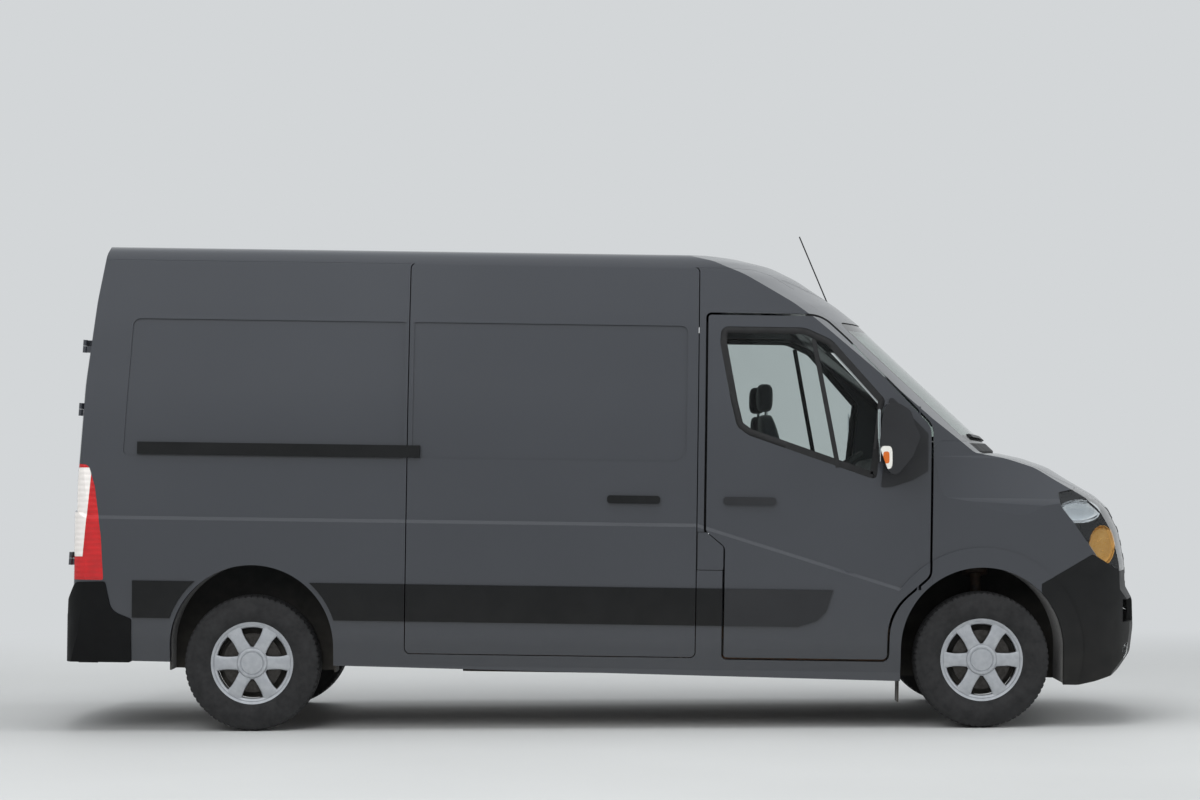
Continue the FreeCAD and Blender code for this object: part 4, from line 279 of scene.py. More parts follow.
@dataclass(frozen=True)
class RibbedLensFinish(Finish):
    """Moulded acrylic tail lens: red, with a clear band, and prism ribs across it."""

    clear: str = "#E9E4E0"
    band: Pair = (0.888, 1.335)
    edge: Pair = (-2.700, 0.1065)
    rib_mm: float = 14.0

    def colour(self, tree: Tree, place: Socket) -> Socket:
        """Red lens; clear where the height is in the band and the place is behind a leaning edge."""
        red = Finish.colour(self, tree, place)
        split = add(tree, "SeparateXYZ", {"Vector": place}).outputs
        above = add(tree, "Math", {0: split["Z"], 1: self.band[0]}, operation="GREATER_THAN").outputs[0]
        under = add(tree, "Math", {0: split["Z"], 1: self.band[1]}, operation="LESS_THAN").outputs[0]
        lean = add(tree, "Math", {0: split["Z"], 1: self.edge[1], 2: self.edge[0]},
                   operation="MULTIPLY_ADD").outputs[0]
        behind = add(tree, "Math", {0: split["X"], 1: lean}, operation="LESS_THAN").outputs[0]
        both = add(tree, "Math", {0: above, 1: under}, operation="MULTIPLY").outputs[0]
        mask = add(tree, "Math", {0: both, 1: behind}, operation="MULTIPLY").outputs[0]
        return add(tree, "Mix", {0: mask, 6: red, 7: linear(self.clear)}, data_type="RGBA").outputs[2]

    def relief(self, tree: Tree, place: Socket) -> Socket:
        """Normal with the ribs: a sine wave in height a rib apart."""
        wave = add(tree, "TexWave", {"Vector": place, "Scale": 1000 / self.rib_mm / WAVE},
                   wave_type="BANDS", bands_direction="Z", wave_profile="SIN").outputs["Fac"]
        return add(tree, "Bump", {"Height": wave, "Distance": self.bump_mm / 1000,
                                  "Strength": 1.0}).outputs["Normal"]


@dataclass(frozen=True)
class FritGlassFinish(GlassFinish):
    """Laminated windscreen with a black ceramic band fired round its edge."""

    half_base: float = 0.815
    lean: float = 0.244
    foot: float = 1.475
    head: float = 2.015

    def shade(self, tree: Tree, place: Socket) -> Node:
        """Glass, and black ceramic where the point is outside a trapezium seen from the front."""
        split = add(tree, "SeparateXYZ", {"Vector": place}).outputs
        out = add(tree, "Math", {0: split["Y"]}, operation="ABSOLUTE").outputs[0]
        rise = add(tree, "Math", {0: split["Z"], 1: self.foot}, operation="SUBTRACT").outputs[0]
        reach = add(tree, "Math", {0: rise, 1: self.lean, 2: out}, operation="MULTIPLY_ADD").outputs[0]
        sides = add(tree, "Math", {0: reach, 1: self.half_base}, operation="GREATER_THAN").outputs[0]
        low = add(tree, "Math", {0: split["Z"], 1: self.foot}, operation="LESS_THAN").outputs[0]
        high = add(tree, "Math", {0: split["Z"], 1: self.head}, operation="GREATER_THAN").outputs[0]
        ends = add(tree, "Math", {0: low, 1: high}, operation="MAXIMUM").outputs[0]
        mask = add(tree, "Math", {0: sides, 1: ends}, operation="MAXIMUM").outputs[0]
        glass, pane = self.pane(tree, place)
        band = add(tree, "BsdfPrincipled", {"Base Color": linear(CERAMIC), "Roughness": 0.12})
        whole = add(tree, "MixShader", {0: mask, 1: pane.outputs[0], 2: band.outputs[0]})
        add(tree, "OutputMaterial", {"Surface": whole.outputs[0]})
        return glass


@dataclass(frozen=True)
class MarkedFinish(Finish):
    """Grained plastic whose outer face holds a clear side lamp with an amber middle."""

    middle: Pair = (1.424, 1.367)
    half: Pair = (0.030, 0.057)
    outside: float = 1.2

    def colour(self, tree: Tree, place: Socket) -> Socket:
        """Plastic; lamp colours inside two rounded outlines on the outermost face.

        A point is inside where the fourth powers of its shares of the half sizes add to less than one.
        """
        plain = Finish.colour(self, tree, place)
        split = add(tree, "SeparateXYZ", {"Vector": place}).outputs
        out = add(tree, "Math", {0: split["Y"]}, operation="ABSOLUTE").outputs[0]
        face = add(tree, "Math", {0: out, 1: self.outside}, operation="GREATER_THAN").outputs[0]
        result = plain
        for scale, code in ((1.0, CLEAR_LENS), (0.52, AMBER_LENS)):
            powers = []
            for axis, centre, half in zip("XZ", self.middle, self.half):
                share = add(tree, "Math", {0: split[axis], 1: centre}, operation="SUBTRACT").outputs[0]
                share = add(tree, "Math", {0: share, 1: half * scale}, operation="DIVIDE").outputs[0]
                share = add(tree, "Math", {0: share}, operation="ABSOLUTE").outputs[0]
                powers.append(add(tree, "Math", {0: share, 1: 4.0}, operation="POWER").outputs[0])
            total = add(tree, "Math", {0: powers[0], 1: powers[1]}, operation="ADD").outputs[0]
            inside = add(tree, "Math", {0: total, 1: 1.0}, operation="LESS_THAN").outputs[0]
            mask = add(tree, "Math", {0: inside, 1: face}, operation="MULTIPLY").outputs[0]
            result = add(tree, "Mix", {0: mask, 6: result, 7: linear(code)}, data_type="RGBA").outputs[2]
        return result


@dataclass(frozen=True)
class FloorFinish(Finish):
    """Pale screed that turns into the plain background colour away from the van."""

    near: float = 3.6
    far: float = 8.5

    def shade(self, tree: Tree, place: Socket) -> Node:
        """Screed near the van; past a distance the background's own colour for eye, gloss and glass."""
        shader = add(tree, "BsdfPrincipled", {
            "Base Color": self.colour(tree, place), "Roughness": self.roughness,
            "Normal": self.relief(tree, place)})
        flat = add(tree, "VectorMath", {0: place, 1: (0.62, 1.0, 0.0)}, operation="MULTIPLY").outputs[0]
        reach = add(tree, "VectorMath", {0: flat}, operation="LENGTH").outputs["Value"]
        away = add(tree, "MapRange", {"Value": reach, "From Min": self.near, "From Max": self.far},
                   interpolation_type="SMOOTHSTEP").outputs["Result"]
        share = add(tree, "Math", {0: away, 1: seen(tree)}, operation="MULTIPLY").outputs[0]
        pale = add(tree, "Emission", {"Color": linear(BACKDROP), "Strength": 1.0})
        mix = add(tree, "MixShader", {0: share, 1: shader.outputs[0], 2: pale.outputs[0]})
        add(tree, "OutputMaterial", {"Surface": mix.outputs[0]})
        return shader


# Solid two-layer enamel baked on steel: deep gloss over slate grey, with faint orange peel.
ENAMEL = Finish("slate_enamel_baked", "#2A2D33", "#2E3137", patch_mm=1500, grain_mm=9, bump_mm=0.012,
                roughness=0.32, spread=0.03, coat=0.6, dust=0.05, dust_top=0.8)
# Polypropylene moulded with a pebble grain: dull black that catches light in specks.
GRAINED = Finish("black_polypropylene_grained", "#0B0C0D", "#0F1011", patch_mm=260, grain_mm=2.4,
                 bump_mm=0.14, roughness=0.55, spread=0.08, specular=0.30, dust=0.06, dust_top=0.7)
# The same plastic low at the tail, darkened to nearly pure black: painted shade, because it is out of the
# light.
GRAINED_PAINTED_SHADE = Finish("black_polypropylene_painted_shade", "#060607", "#08090A", patch_mm=260, grain_mm=2.4,
                      bump_mm=0.14, roughness=0.6, spread=0.06, specular=0.2, dust=0.03, dust_top=0.4)
# Smooth ABS moulding: black with a soft gloss.
SATIN_BLACK = Finish("black_abs_satin", "#17181A", "#1D1E20", patch_mm=200, grain_mm=1.6, bump_mm=0.03,
                     roughness=0.42, spread=0.06)
# Laminated glass, faintly green in its mass, with a fired black edge.
WINDSCREEN = FritGlassFinish("laminated_glass_fritted", "#B9C9C2", "#B3C3BC", patch_mm=900, grain_mm=600,
                             bump_mm=0.01, roughness=0.0, through="#B7C4BE")
# Toughened door glass, clearer than the windscreen and nearly neutral.
DOOR_GLASS = GlassFinish("toughened_glass_tinted", "#DDE3E2", "#D7DDDC", patch_mm=900, grain_mm=600,
                         bump_mm=0.01, roughness=0.0, ior=1.2, through="#C5CECB")
# Injection moulded polycarbonate with a hard coat: clear and sharp in its gloss.
LAMP_LENS = GlassFinish("clear_polycarbonate_coated", "#F2F5F6", "#EDF1F3", patch_mm=500, grain_mm=500,
                        bump_mm=0.01, roughness=0.02, ior=1.25, through="#E6EAEA")
# Moulded acrylic with prism ribs: deep red with a clear band.
TAIL_LENS = RibbedLensFinish("red_acrylic_ribbed", "#C20C12", "#AE0A0F", patch_mm=90, grain_mm=14,
                             bump_mm=1.2, roughness=0.16, spread=0.04, coat=0.25)
# Vulcanised tyre rubber: matt charcoal, greyer where the road has worn it.
RUBBER = Finish("vulcanised_rubber", "#1B1B1C", "#252526", patch_mm=60, grain_mm=1.6, bump_mm=0.10,
                roughness=0.78, spread=0.08, dust=0.0)
# Polypropylene mirror case, a little glossier, with its side lamp moulded in; its base is lighter than the
# other grained black: its own dark grey, lightened further as a painted highlight.
MIRROR_CASE_PAINTED_HIGHLIGHT = MarkedFinish("black_polypropylene_mirror", "#17181B", "#1C1D20", patch_mm=260, grain_mm=2.4,
                           bump_mm=0.14, roughness=0.45, spread=0.08, specular=0.5)
# Extruded rubber seal: plain soft black.
SEAL = Finish("extruded_rubber_seal", "#141415", "#19191A", patch_mm=80, grain_mm=1.2, bump_mm=0.05,
              roughness=0.6, spread=0.08)
# Cast aluminium with silver lacquer: bright, with a fine metal flake.
ALLOY = Finish("cast_alloy_silver_lacquer", "#B9BCC0", "#AEB1B6", patch_mm=30, grain_mm=0.9, bump_mm=0.02,
               roughness=0.36, spread=0.05, metallic=0.85, coat=0.5)
# Grey iron turned bright where the pads run.
DISC_IRON = Finish("turned_grey_iron", "#4A4846", "#3B3937", patch_mm=18, grain_mm=1.4, bump_mm=0.06,
                   roughness=0.42, spread=0.10, metallic=1.0)
# Sand-cast iron: rough, dark, with a film of rust.
CAST_IRON = Finish("sand_cast_iron", "#35322F", "#4B3A2F", patch_mm=45, grain_mm=3, bump_mm=0.35,
                   roughness=0.72, spread=0.10, metallic=0.5)
# Sprayed wax and stone guard: thick, dark and lumpy.
UNDERSEAL = Finish("sprayed_underseal", "#232425", "#2F2E2C", patch_mm=160, grain_mm=6, bump_mm=0.5,
                   roughness=0.8, spread=0.08, dust=0.35, dust_top=0.9)
# Needled fibre liner: matt and hairy black.
FIBRE = Finish("needled_fibre_liner", "#18191A", "#222222", patch_mm=70, grain_mm=3, bump_mm=0.6,
               roughness=0.95, spread=0.04, sheen=0.2, dust=0.3, dust_top=0.8)
# Rolled steel tube, blued and rusted by heat.
HOT_STEEL = Finish("heat_stained_steel", "#5A5048", "#6B4A33", patch_mm=90, grain_mm=4, bump_mm=0.12,
                   roughness=0.5, spread=0.12, metallic=0.8)
# Cast block and sump, oily grey.
ENGINE_CASTING = Finish("oiled_aluminium_casting", "#55575A", "#3E3F41", patch_mm=80, grain_mm=5,
                        bump_mm=0.3, roughness=0.5, spread=0.12, metallic=0.6)
# Soft-touch moulded trim, pebbled.
TRIM = Finish("moulded_trim_pebbled", "#17181A", "#1C1D20", patch_mm=200, grain_mm=2.6, bump_mm=0.15,
              roughness=0.66, spread=0.07)
# Painted steel panel seen inside the load space.
INNER_PAINT = Finish("grey_primer_panel", "#4C5056", "#53575C", patch_mm=700, grain_mm=8, bump_mm=0.02,
                     roughness=0.5, spread=0.06)
# Flat woven polyester seat cloth, dark grey, with threads drawn wide enough to show.
CLOTH = WovenFinish("flat_woven_polyester", "#202226", "#292B30", patch_mm=12, bump_mm=0.5, roughness=0.9,
                    spread=0.05, sheen=0.35, thread_mm=5)
# Smoother knitted bolster cloth, nearly black.
BOLSTER = WovenFinish("knitted_polyester_bolster", "#1E2023", "#26282B", patch_mm=10, bump_mm=0.35,
                      roughness=0.92, spread=0.04, sheen=0.3, thread_mm=4)
# Tightly woven belt webbing with a slight lustre.
WEBBING = WovenFinish("woven_belt_webbing", "#3A3C40", "#424549", patch_mm=20, bump_mm=0.3, roughness=0.6,
                      spread=0.05, thread_mm=6)
# Vacuum-coated reflector: mirror bright.
REFLECTOR = Finish("vacuum_metallised_reflector", "#D9DBDD", "#CFD2D5", patch_mm=60, grain_mm=12,
                   bump_mm=0.02, roughness=0.12, spread=0.04, metallic=1.0)
# Smoked bezel behind the headlamp lens: black with a satin gloss.
BEZEL = Finish("smoked_bezel_satin", "#0B0C0E", "#101113", patch_mm=120, grain_mm=5, bump_mm=0.02,
               roughness=0.25, spread=0.04)
# Metallised bowl lacquered amber: glows warm.
AMBER_BOWL = Finish("amber_lacquered_reflector", "#D9A55C", "#CC9448", patch_mm=60, grain_mm=12,
                    bump_mm=0.03, roughness=0.24, spread=0.04, metallic=0.6)
# Silvered mirror glass.
MIRROR_GLASS = Finish("silvered_mirror_glass", "#C8CDD0", "#C2C8CB", patch_mm=300, grain_mm=200,
                      bump_mm=0.001, roughness=0.03, spread=0.01, metallic=1.0)
# Pressed aluminium plate with reflective white enamel, left blank.
PLATE = Finish("blank_plate_enamel", "#DADBD6", "#D2D3CE", patch_mm=60, grain_mm=2, bump_mm=0.03,
               roughness=0.38, spread=0.05)
# Varnished plywood floor of the load space.
PLYWOOD = Finish("varnished_plywood", "#6B5743", "#5C4A39", patch_mm=120, grain_mm=4, bump_mm=0.1,
                 roughness=0.6, spread=0.1)
# Levelled floor screed, pale and matt.
SCREED = FloorFinish("pale_floor_screed", "#BDBFBF", "#C1C3C3", patch_mm=2500, grain_mm=12, bump_mm=0.02,
                     roughness=0.75, spread=0.05)


def row(points: Array) -> Array:
    """Points drawn along the van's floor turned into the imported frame.

    The body stands nose down, so each point turns about the rear axle: ahead becomes ahead and
    slightly down, up becomes up and slightly ahead.

    Args:
        points: Rows of ahead of the rear axle, across to the left, and up, in metres.

    Returns:
        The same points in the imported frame.
    """
    points = np.atleast_2d(np.asarray(points, float))
    ahead, rise = points[:, 0], points[:, 2] - AXLE_HEIGHT
    cos, sin = math.cos(NOSE_DOWN), math.sin(NOSE_DOWN)
    return np.column_stack([REAR_AXLE_X + ahead * cos + rise * sin, points[:, 1],
                            AXLE_HEIGHT - ahead * sin + rise * cos])


def grid_faces(rows: int, columns: int, wrap_rows: bool, wrap_columns: bool) -> Array:
    """Corner numbers of the quads of a grid of points.

    Args:
        rows: Number of rows of points.
        columns: Points in a row.
        wrap_rows: Whether the last row joins the first.
        wrap_columns: Whether each row's last point joins its first.

    Returns:
        One line of four corner numbers per quad.
    """
    i = np.arange(rows if wrap_rows else rows - 1)
    j = np.arange(columns if wrap_columns else columns - 1)
    a, b = np.meshgrid(i, j, indexing="ij")
    c, d = (a + 1) % rows, (b + 1) % columns
    return np.stack([a * columns + b, a * columns + d, c * columns + d, c * columns + b], -1).reshape(-1, 4)


def fill_mesh(mesh: Mesh, points: Array, quads: Array) -> None:
    """Put quads into a mesh as whole arrays.

    Args:
        mesh: Empty mesh.
        points: Rows of coordinates.
        quads: Rows of four corner numbers.
    """
    mesh.vertices.add(len(points))
    mesh.vertices.foreach_set("co", np.ascontiguousarray(points, np.float32).ravel())
    mesh.loops.add(quads.size)
    mesh.loops.foreach_set("vertex_index", np.ascontiguousarray(quads, np.int32).ravel())
    mesh.polygons.add(len(quads))
    mesh.polygons.foreach_set("loop_start", np.arange(0, quads.size, 4, dtype=np.int32))
    mesh.update(calc_edges=True)
    mesh.validate()


def tidy_mesh(mesh: Mesh, closed: bool) -> None:
    """Merge doubles, cap nothing twice and turn a closed shell's faces outwards.

    Args:
        mesh: Mesh to tidy.
        closed: Whether its faces close round a space.
    """
    work = bmesh.new()
    work.from_mesh(mesh)
    bmesh.ops.remove_doubles(work, verts=work.verts, dist=1e-5)
    if closed:
        bmesh.ops.holes_fill(work, edges=[e for e in work.edges if e.is_boundary], sides=0)
        bmesh.ops.recalc_face_normals(work, faces=work.faces)
    work.to_mesh(mesh)
    work.free()


def placed(name: str, data: bpy.types.ID) -> Object:
    """New object in the scene.

    Args:
        name: Its name.
        data: Its mesh, light or camera.

    Returns:
        The object, at the origin.
    """
    item = bpy.data.objects.new(name, data)
    bpy.context.scene.collection.objects.link(item)
    return item


def thicken(item: Object, thickness: float, offset: float) -> None:
    """Give a sheet its wall.

    Args:
        item: The sheet.
        thickness: Size of the wall in metres.
        offset: Side that it grows to: 1 outwards, -1 inwards, 0 both.
    """
    wall = item.modifiers.new("wall", "SOLIDIFY")
    wall.thickness, wall.offset = thickness, offset


def piece(name: str, body: str, finish: Finish, shells: list[Shell], closed: bool = True) -> Object:
    """Make one piece of the van from grids of points and hang it on a body.

    Args:
        name: Plain name of the piece.
        body: Body that it moves with.
        finish: What it is made of.
        shells: Points and quads of each separate shell.
        closed: Whether the shells are closed.

    Returns:
        The object, at the origin.
    """
    points, quads, start = [], [], 0
    for shell_points, shell_quads in shells:
        points.append(shell_points)
        quads.append(shell_quads + start)
        start += len(shell_points)
    mesh = bpy.data.meshes.new(name)
    fill_mesh(mesh, np.concatenate(points), np.concatenate(quads))
    tidy_mesh(mesh, closed)
    mesh.polygons.foreach_set("use_smooth", np.ones(len(mesh.polygons), bool))
    mesh.set_sharp_from_angle(angle=math.radians(SHARP_EDGE))
    item = placed(name, mesh)
    item.data.materials.append(finish.material())
    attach(item, body)
    LOG.info("%s on %s: %d faces", name, body, len(mesh.polygons))
    return item


def revolved(profile: Array, turns: Array, centre: Array, out: float) -> Shell:
    """Profile carried round an axle: each point keeps its place along the axle and goes round at its radius.

    Args:
        profile: Closed or open rows of place along the axle, outwards, and radius.
        turns: Angles round the axle.
        centre: Middle of the turned form.
        out: Sign of the outward direction across the van.

    Returns:
        Points and quads.
    """
    along, radius = profile[:, 0][None, :], profile[:, 1][None, :]
    angle = turns[:, None]
    points = np.stack([radius * np.cos(angle), np.broadcast_to(along * out, (len(turns), len(profile))),
                       radius * np.sin(angle)], -1).reshape(-1, 3) + centre
    return points, grid_faces(len(turns), len(profile), True, True)


def circle_turns(count: int) -> Array:
    """Equal angles of a full turn."""
    return np.linspace(0, 2 * math.pi, count, endpoint=False)


def rounded_loop(half_width: Array, half_depth: Array, power: float, count: int) -> Array:
    """Closed section between an ellipse and a rectangle.

    Each point is a half size times the sine or cosine raised to 2 over the power, with its sign kept.

    Args:
        half_width: Half sizes along the first axis, one per section.
        half_depth: Half sizes along the second axis, one per section.
        power: 2 for an ellipse; more is squarer.
        count: Points round the loop.

    Returns:
        Array of sections by points by two.
    """
    turn = circle_turns(count)
    cos, sin = np.cos(turn), np.sin(turn)
    first = np.sign(cos) * np.abs(cos) ** (2 / power)
    second = np.sign(sin) * np.abs(sin) ** (2 / power)
    return np.stack([np.outer(half_width, first), np.outer(half_depth, second)], -1)


def swept(path: Array, loops: Array, upward: Place) -> Shell:
    """Sections carried along a path, the first axis across it and the second towards the upward side.

    At each point the direction is the mean of its two runs; across is direction crossed with upward.

    Args:
        path: Points of the path.
        loops: One section per point, as points by two.
        upward: Direction that the second axis leans to.

    Returns:
        Points and quads, closed by a point at each end.
    """
    path = np.asarray(path, float)
    run = np.gradient(path, axis=0)
    run /= np.linalg.norm(run, axis=1)[:, None]
    across = np.cross(run, np.asarray(upward, float))
    across /= np.linalg.norm(across, axis=1)[:, None]
    above = np.cross(across, run)
    rings = path[:, None] + loops[..., :1] * across[:, None] + loops[..., 1:] * above[:, None]
    ends = [np.broadcast_to(rings[i].mean(0), rings[i].shape) for i in (0, -1)]
    rings = np.concatenate([ends[0][None], rings, ends[1][None]])
    return rings.reshape(-1, 3), grid_faces(len(rings), rings.shape[1], False, True)


def strip(path: Array, width: float, thickness: float, upward: Place, power: float = 8.0) -> Shell:
    """Flat bar of one size carried along a path.

    Args:
        path: Points of the path.
        width: Size across it.
        thickness: Size towards the upward side.
        upward: Direction that the thickness leans to.
        power: How square its section is.

    Returns:
        Points and quads.
    """
    count = len(path)
    loops = rounded_loop(np.full(count, width / 2), np.full(count, thickness / 2), power, 24)
    return swept(path, loops, upward)


def curve_through(points: list, count: int) -> Array:
    """Smooth path through a few points: a cubic between neighbours on each axis, sloped along their chord.

    Args:
        points: Points to pass through.
        count: Points of the path.

    Returns:
        Points of the path, at even shares of the way.
    """
    knots = np.asarray(points, float)
    slopes = np.gradient(knots, axis=0)
    place = np.linspace(0, len(knots) - 1, count)
    index = np.minimum(place.astype(int), len(knots) - 2)
    t = (place - index)[:, None]
    a, b, c, d = knots[index], knots[index + 1], slopes[index], slopes[index + 1]
    return ((2 * t ** 3 - 3 * t ** 2 + 1) * a + (t ** 3 - 2 * t ** 2 + t) * c
            + (3 * t ** 2 - 2 * t ** 3) * b + (t ** 3 - t ** 2) * d)


def pillow(centre: Array, half: Array, power: float, crown: Callable[[Array], Array] | None = None,
           count: int = 48) -> Shell:
    """Closed crowned form between an ellipsoid and a box, shaped further by a function.

    A point at latitude and longitude has each axis as its half size times sines and cosines raised to
    2 over the power, with their signs kept.

    Args:
        centre: Middle of the form.
        half: Half sizes along the three axes.
        power: 2 for an ellipsoid; more is squarer.
        crown: Takes the form's points in shares of its half sizes and gives them back moved.
        count: Rows from pole to pole; there are twice as many points round.

    Returns:
        Points and quads.
    """
    lat = np.linspace(-math.pi / 2, math.pi / 2, count)[:, None]
    lon = circle_turns(2 * count)[None, :]

    def eased(value: Array) -> Array:
        """Value raised to 2 over the power with its sign kept."""
        return np.sign(value) * np.abs(value) ** (2 / power)

    unit = np.stack([eased(np.cos(lat)) * eased(np.cos(lon)), eased(np.cos(lat)) * eased(np.sin(lon)),
                     eased(np.sin(lat)) * np.ones_like(lon)], -1).reshape(-1, 3)
    if crown:
        unit = crown(unit)
    return unit * np.asarray(half) + np.asarray(centre), grid_faces(count, 2 * count, False, True)


def touch(node: str, start: Place, way: Place) -> Array:
    """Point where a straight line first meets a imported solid.

    Args:
        node: Name of the solid.
        start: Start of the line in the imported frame.
        way: Its direction.

    Returns:
        The point; the start itself where the line misses.
    """
    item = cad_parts[node]
    found, place, _, _ = item.ray_cast(start, way)
    if not found:
        LOG.warning("no touch on %s from %s", node, start)
    return np.array(place if found else start)


@dataclass
class RoadWheel:
    """Steel-banded tyre on a cast six-spoke wheel, with its brake disc."""

    axle: Axle
    side: Side
    half_tyre: float = 0.1075
    tyre_radius: float = 0.343
    bead_radius: float = 0.2035
    half_rim: float = 0.090
    flange_radius: float = 0.218
    cap_radius: float = 0.078
    groove_depth: float = 0.007
    tread_pitches: int = 68
    spokes: int = 6

    def __post_init__(self) -> None:
        """Find the wheel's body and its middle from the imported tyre."""
        self.corner = f"{self.axle.value}_{self.side.word}"
        self.body = f"wheel_{self.corner}"
        self.tyre_node = f"tyre_{self.corner}"
        low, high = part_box(self.tyre_node)
        self.centre = (np.array(low) + np.array(high)) / 2
        self.out = float(self.side.value)

    def tyre(self) -> Object:
        """Tyre: a bead, bulged wall, round shoulder and crown, with four grooves round and sipes across.

        The section goes once round the tyre; on the tread the radius falls by the groove depth where
        the place across is near a groove, and on the shoulders at each quarter of a tread pitch.
        """
        wall = np.array([(-0.72, 0.0), (-0.84, 0.05), (-0.93, 0.16), (-0.985, 0.32), (-0.999, 0.46),
                         (-0.985, 0.60), (-0.955, 0.72), (-0.945, 0.735), (-0.935, 0.79), (-0.90, 0.88),
                         (-0.86, 0.94)])
        tread = np.linspace(-0.80, 0.80, 49)
        crown = np.column_stack([tread, 0.9985 - 0.030 * (np.abs(tread) / 0.80) ** 3.0])
        share = np.concatenate([wall, crown, wall[::-1] * (-1, 1)])
        inner = np.array([(0.62, 0.02), (0.55, 0.08), (-0.55, 0.08), (-0.62, 0.02)])
        share = np.concatenate([share, inner])
        depth = self.tyre_radius - self.bead_radius
        along = share[:, 0] * self.half_tyre
        radius = self.bead_radius + share[:, 1] * depth
        on_tread = (share[:, 1] > 0.93) & (np.abs(share[:, 0]) <= 0.87)
        round_cut = np.zeros(len(share))
        for middle in (-0.46, -0.155, 0.155, 0.46):
            round_cut = np.maximum(round_cut, np.clip(1.25 - np.abs(share[:, 0] - middle) / 0.036, 0, 1))
        turns = circle_turns(self.tread_pitches * 4)
        step = np.arange(len(turns)) % 4
        outer_blocks = np.abs(share[:, 0]) > 0.50
        skew = np.where(np.abs(share[:, 0]) > 0.31, 0, 2)
        sipe = (step[:, None] == skew[None, :]).astype(float) * np.where(outer_blocks, 0.75, 0.35)[None, :]
        cut = np.maximum(round_cut[None, :], sipe * (np.abs(share[:, 0]) > 0.19)[None, :]) * on_tread[None, :]
        radii = radius[None, :] - cut * self.groove_depth
        angle = turns[:, None]
        points = np.stack([radii * np.cos(angle), np.broadcast_to(along * self.out, radii.shape),
                           radii * np.sin(angle)], -1).reshape(-1, 3) + self.centre
        name = f"treaded_tyre_{self.corner}"
        item = piece(name, self.body, RUBBER, [(points, grid_faces(len(turns), len(share), True, True))])
        item.data.set_sharp_from_angle(angle=math.radians(24))
        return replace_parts(item, self.tyre_node)

    def turned(self, profile: list[Pair], count: int = 96) -> Shell:
        """Form turned about the axle.

        Args:
            profile: Places along the axle, outwards from the wheel's middle, with radii.
            count: Points round it.

        Returns:
            Points and quads.
        """
        return revolved(np.array(profile), circle_turns(count), self.centre, self.out)

    def rim(self) -> Shell:
        """Barrel of the wheel with its flanges and the step that the face sits in."""
        half, edge = self.half_rim, self.flange_radius
        return self.turned([
            (half - 0.002, edge - 0.006), (half, edge - 0.002), (half - 0.002, edge),
            (half - 0.007, edge - 0.001), (half - 0.010, 0.2025), (half - 0.030, 0.2015),
            (half - 0.050, 0.196), (-0.02, 0.194), (-half + 0.010, 0.2015), (-half + 0.003, edge - 0.001),
            (-half, edge - 0.003), (-half, 0.196), (-half + 0.010, 0.192), (-0.02, 0.187),
            (half - 0.048, 0.188), (half - 0.026, 0.192), (half - 0.014, 0.1935), (half - 0.009, 0.196),
            (half - 0.006, 0.204), (half - 0.003, 0.211)], 144)

    def ring(self) -> Shell:
        """Raised ring that ties the spokes' ends just inside the rim."""
        half = self.half_rim
        return self.turned([
            (half - 0.010, 0.1955), (half - 0.0085, 0.193), (half - 0.012, 0.183), (half - 0.018, 0.179),
            (half - 0.030, 0.178), (half - 0.036, 0.186), (half - 0.034, 0.1955)], 144)

    def spoke(self, turn: float) -> Shell:
        """One spoke: a crowned bar that widens at both ends and dips towards the hub.

        Its half width is a least value plus terms that grow to the hub and the ring; its face falls
        back by a parabola between them.

        Args:
            turn: Angle round the axle.
        """
        t = np.linspace(0, 1, 22)
        radius = 0.052 + t * (0.190 - 0.052)
        half_width = 0.0300 + 0.0085 * (1 - t) ** 2 + 0.0165 * t ** 4
        face = 0.0835 - 0.0055 * (1 - t) ** 1.5 - 0.004 * t ** 3 + 0.003 * np.sin(math.pi * t)
        half_depth = np.full(len(t), 0.0125)
        loops = rounded_loop(half_width, half_depth, 5.0, 40)
        ridge = np.clip(1 - np.abs(loops[..., 0]) / half_width[:, None], 0, 1)
        loops[..., 1] += np.where(loops[..., 1] > 0, 0.0032 * ridge, 0)
        local = np.empty((len(t), 40, 3))
        local[..., 0] = radius[:, None]
        local[..., 1] = loops[..., 1] + (face - 0.0125)[:, None]
        local[..., 2] = loops[..., 0]
        cos, sin = math.cos(turn), math.sin(turn)
        points = np.stack([local[..., 0] * cos - local[..., 2] * sin, local[..., 1] * self.out,
                           local[..., 0] * sin + local[..., 2] * cos], -1)
        ends = [np.broadcast_to(points[i].mean(0), points[i].shape) for i in (0, -1)]
        points = np.concatenate([ends[0][None], points, ends[1][None]])
        return points.reshape(-1, 3) + self.centre, grid_faces(len(points), 40, False, True)

    def hub(self) -> Shell:
        """Hub with the flat that the cap sits on."""
        return self.turned([
            (0.012, 0.0315), (0.012, 0.066), (0.060, 0.070), (0.074, 0.081), (0.0775, 0.0815),
            (0.0795, 0.0795), (0.0795, 0.0), (0.0615, 0.0), (0.0615, 0.0315)])

    def cap(self) -> Object:
        """Plain round cap with a bevelled rim, a groove and a slightly crowned bare middle."""
        shell = self.turned([
            (0.074, 0.0), (0.074, self.cap_radius - 0.003), (0.086, self.cap_radius - 0.001),
            (0.0905, self.cap_radius - 0.004), (0.0930, self.cap_radius - 0.011), (0.0925, 0.061),
            (0.0900, 0.0585), (0.0900, 0.0565), (0.0930, 0.054), (0.0948, 0.040), (0.0957, 0.020),
            (0.0959, 0.0)])
        return piece(f"wheel_cap_{self.corner}", self.body, ALLOY, [shell])

    def disc(self) -> Object:
        """Vented brake disc behind the spokes: two rings on a short bell."""
        shell = self.turned([
            (0.059, 0.071), (0.059, 0.088), (0.055, 0.090), (0.055, 0.149), (0.046, 0.1495), (0.046, 0.144),
            (0.040, 0.144), (0.040, 0.1495), (0.031, 0.149), (0.031, 0.078), (0.034, 0.076), (0.034, 0.071)])
        return piece(f"brake_disc_{self.corner}", self.body, DISC_IRON, [shell])

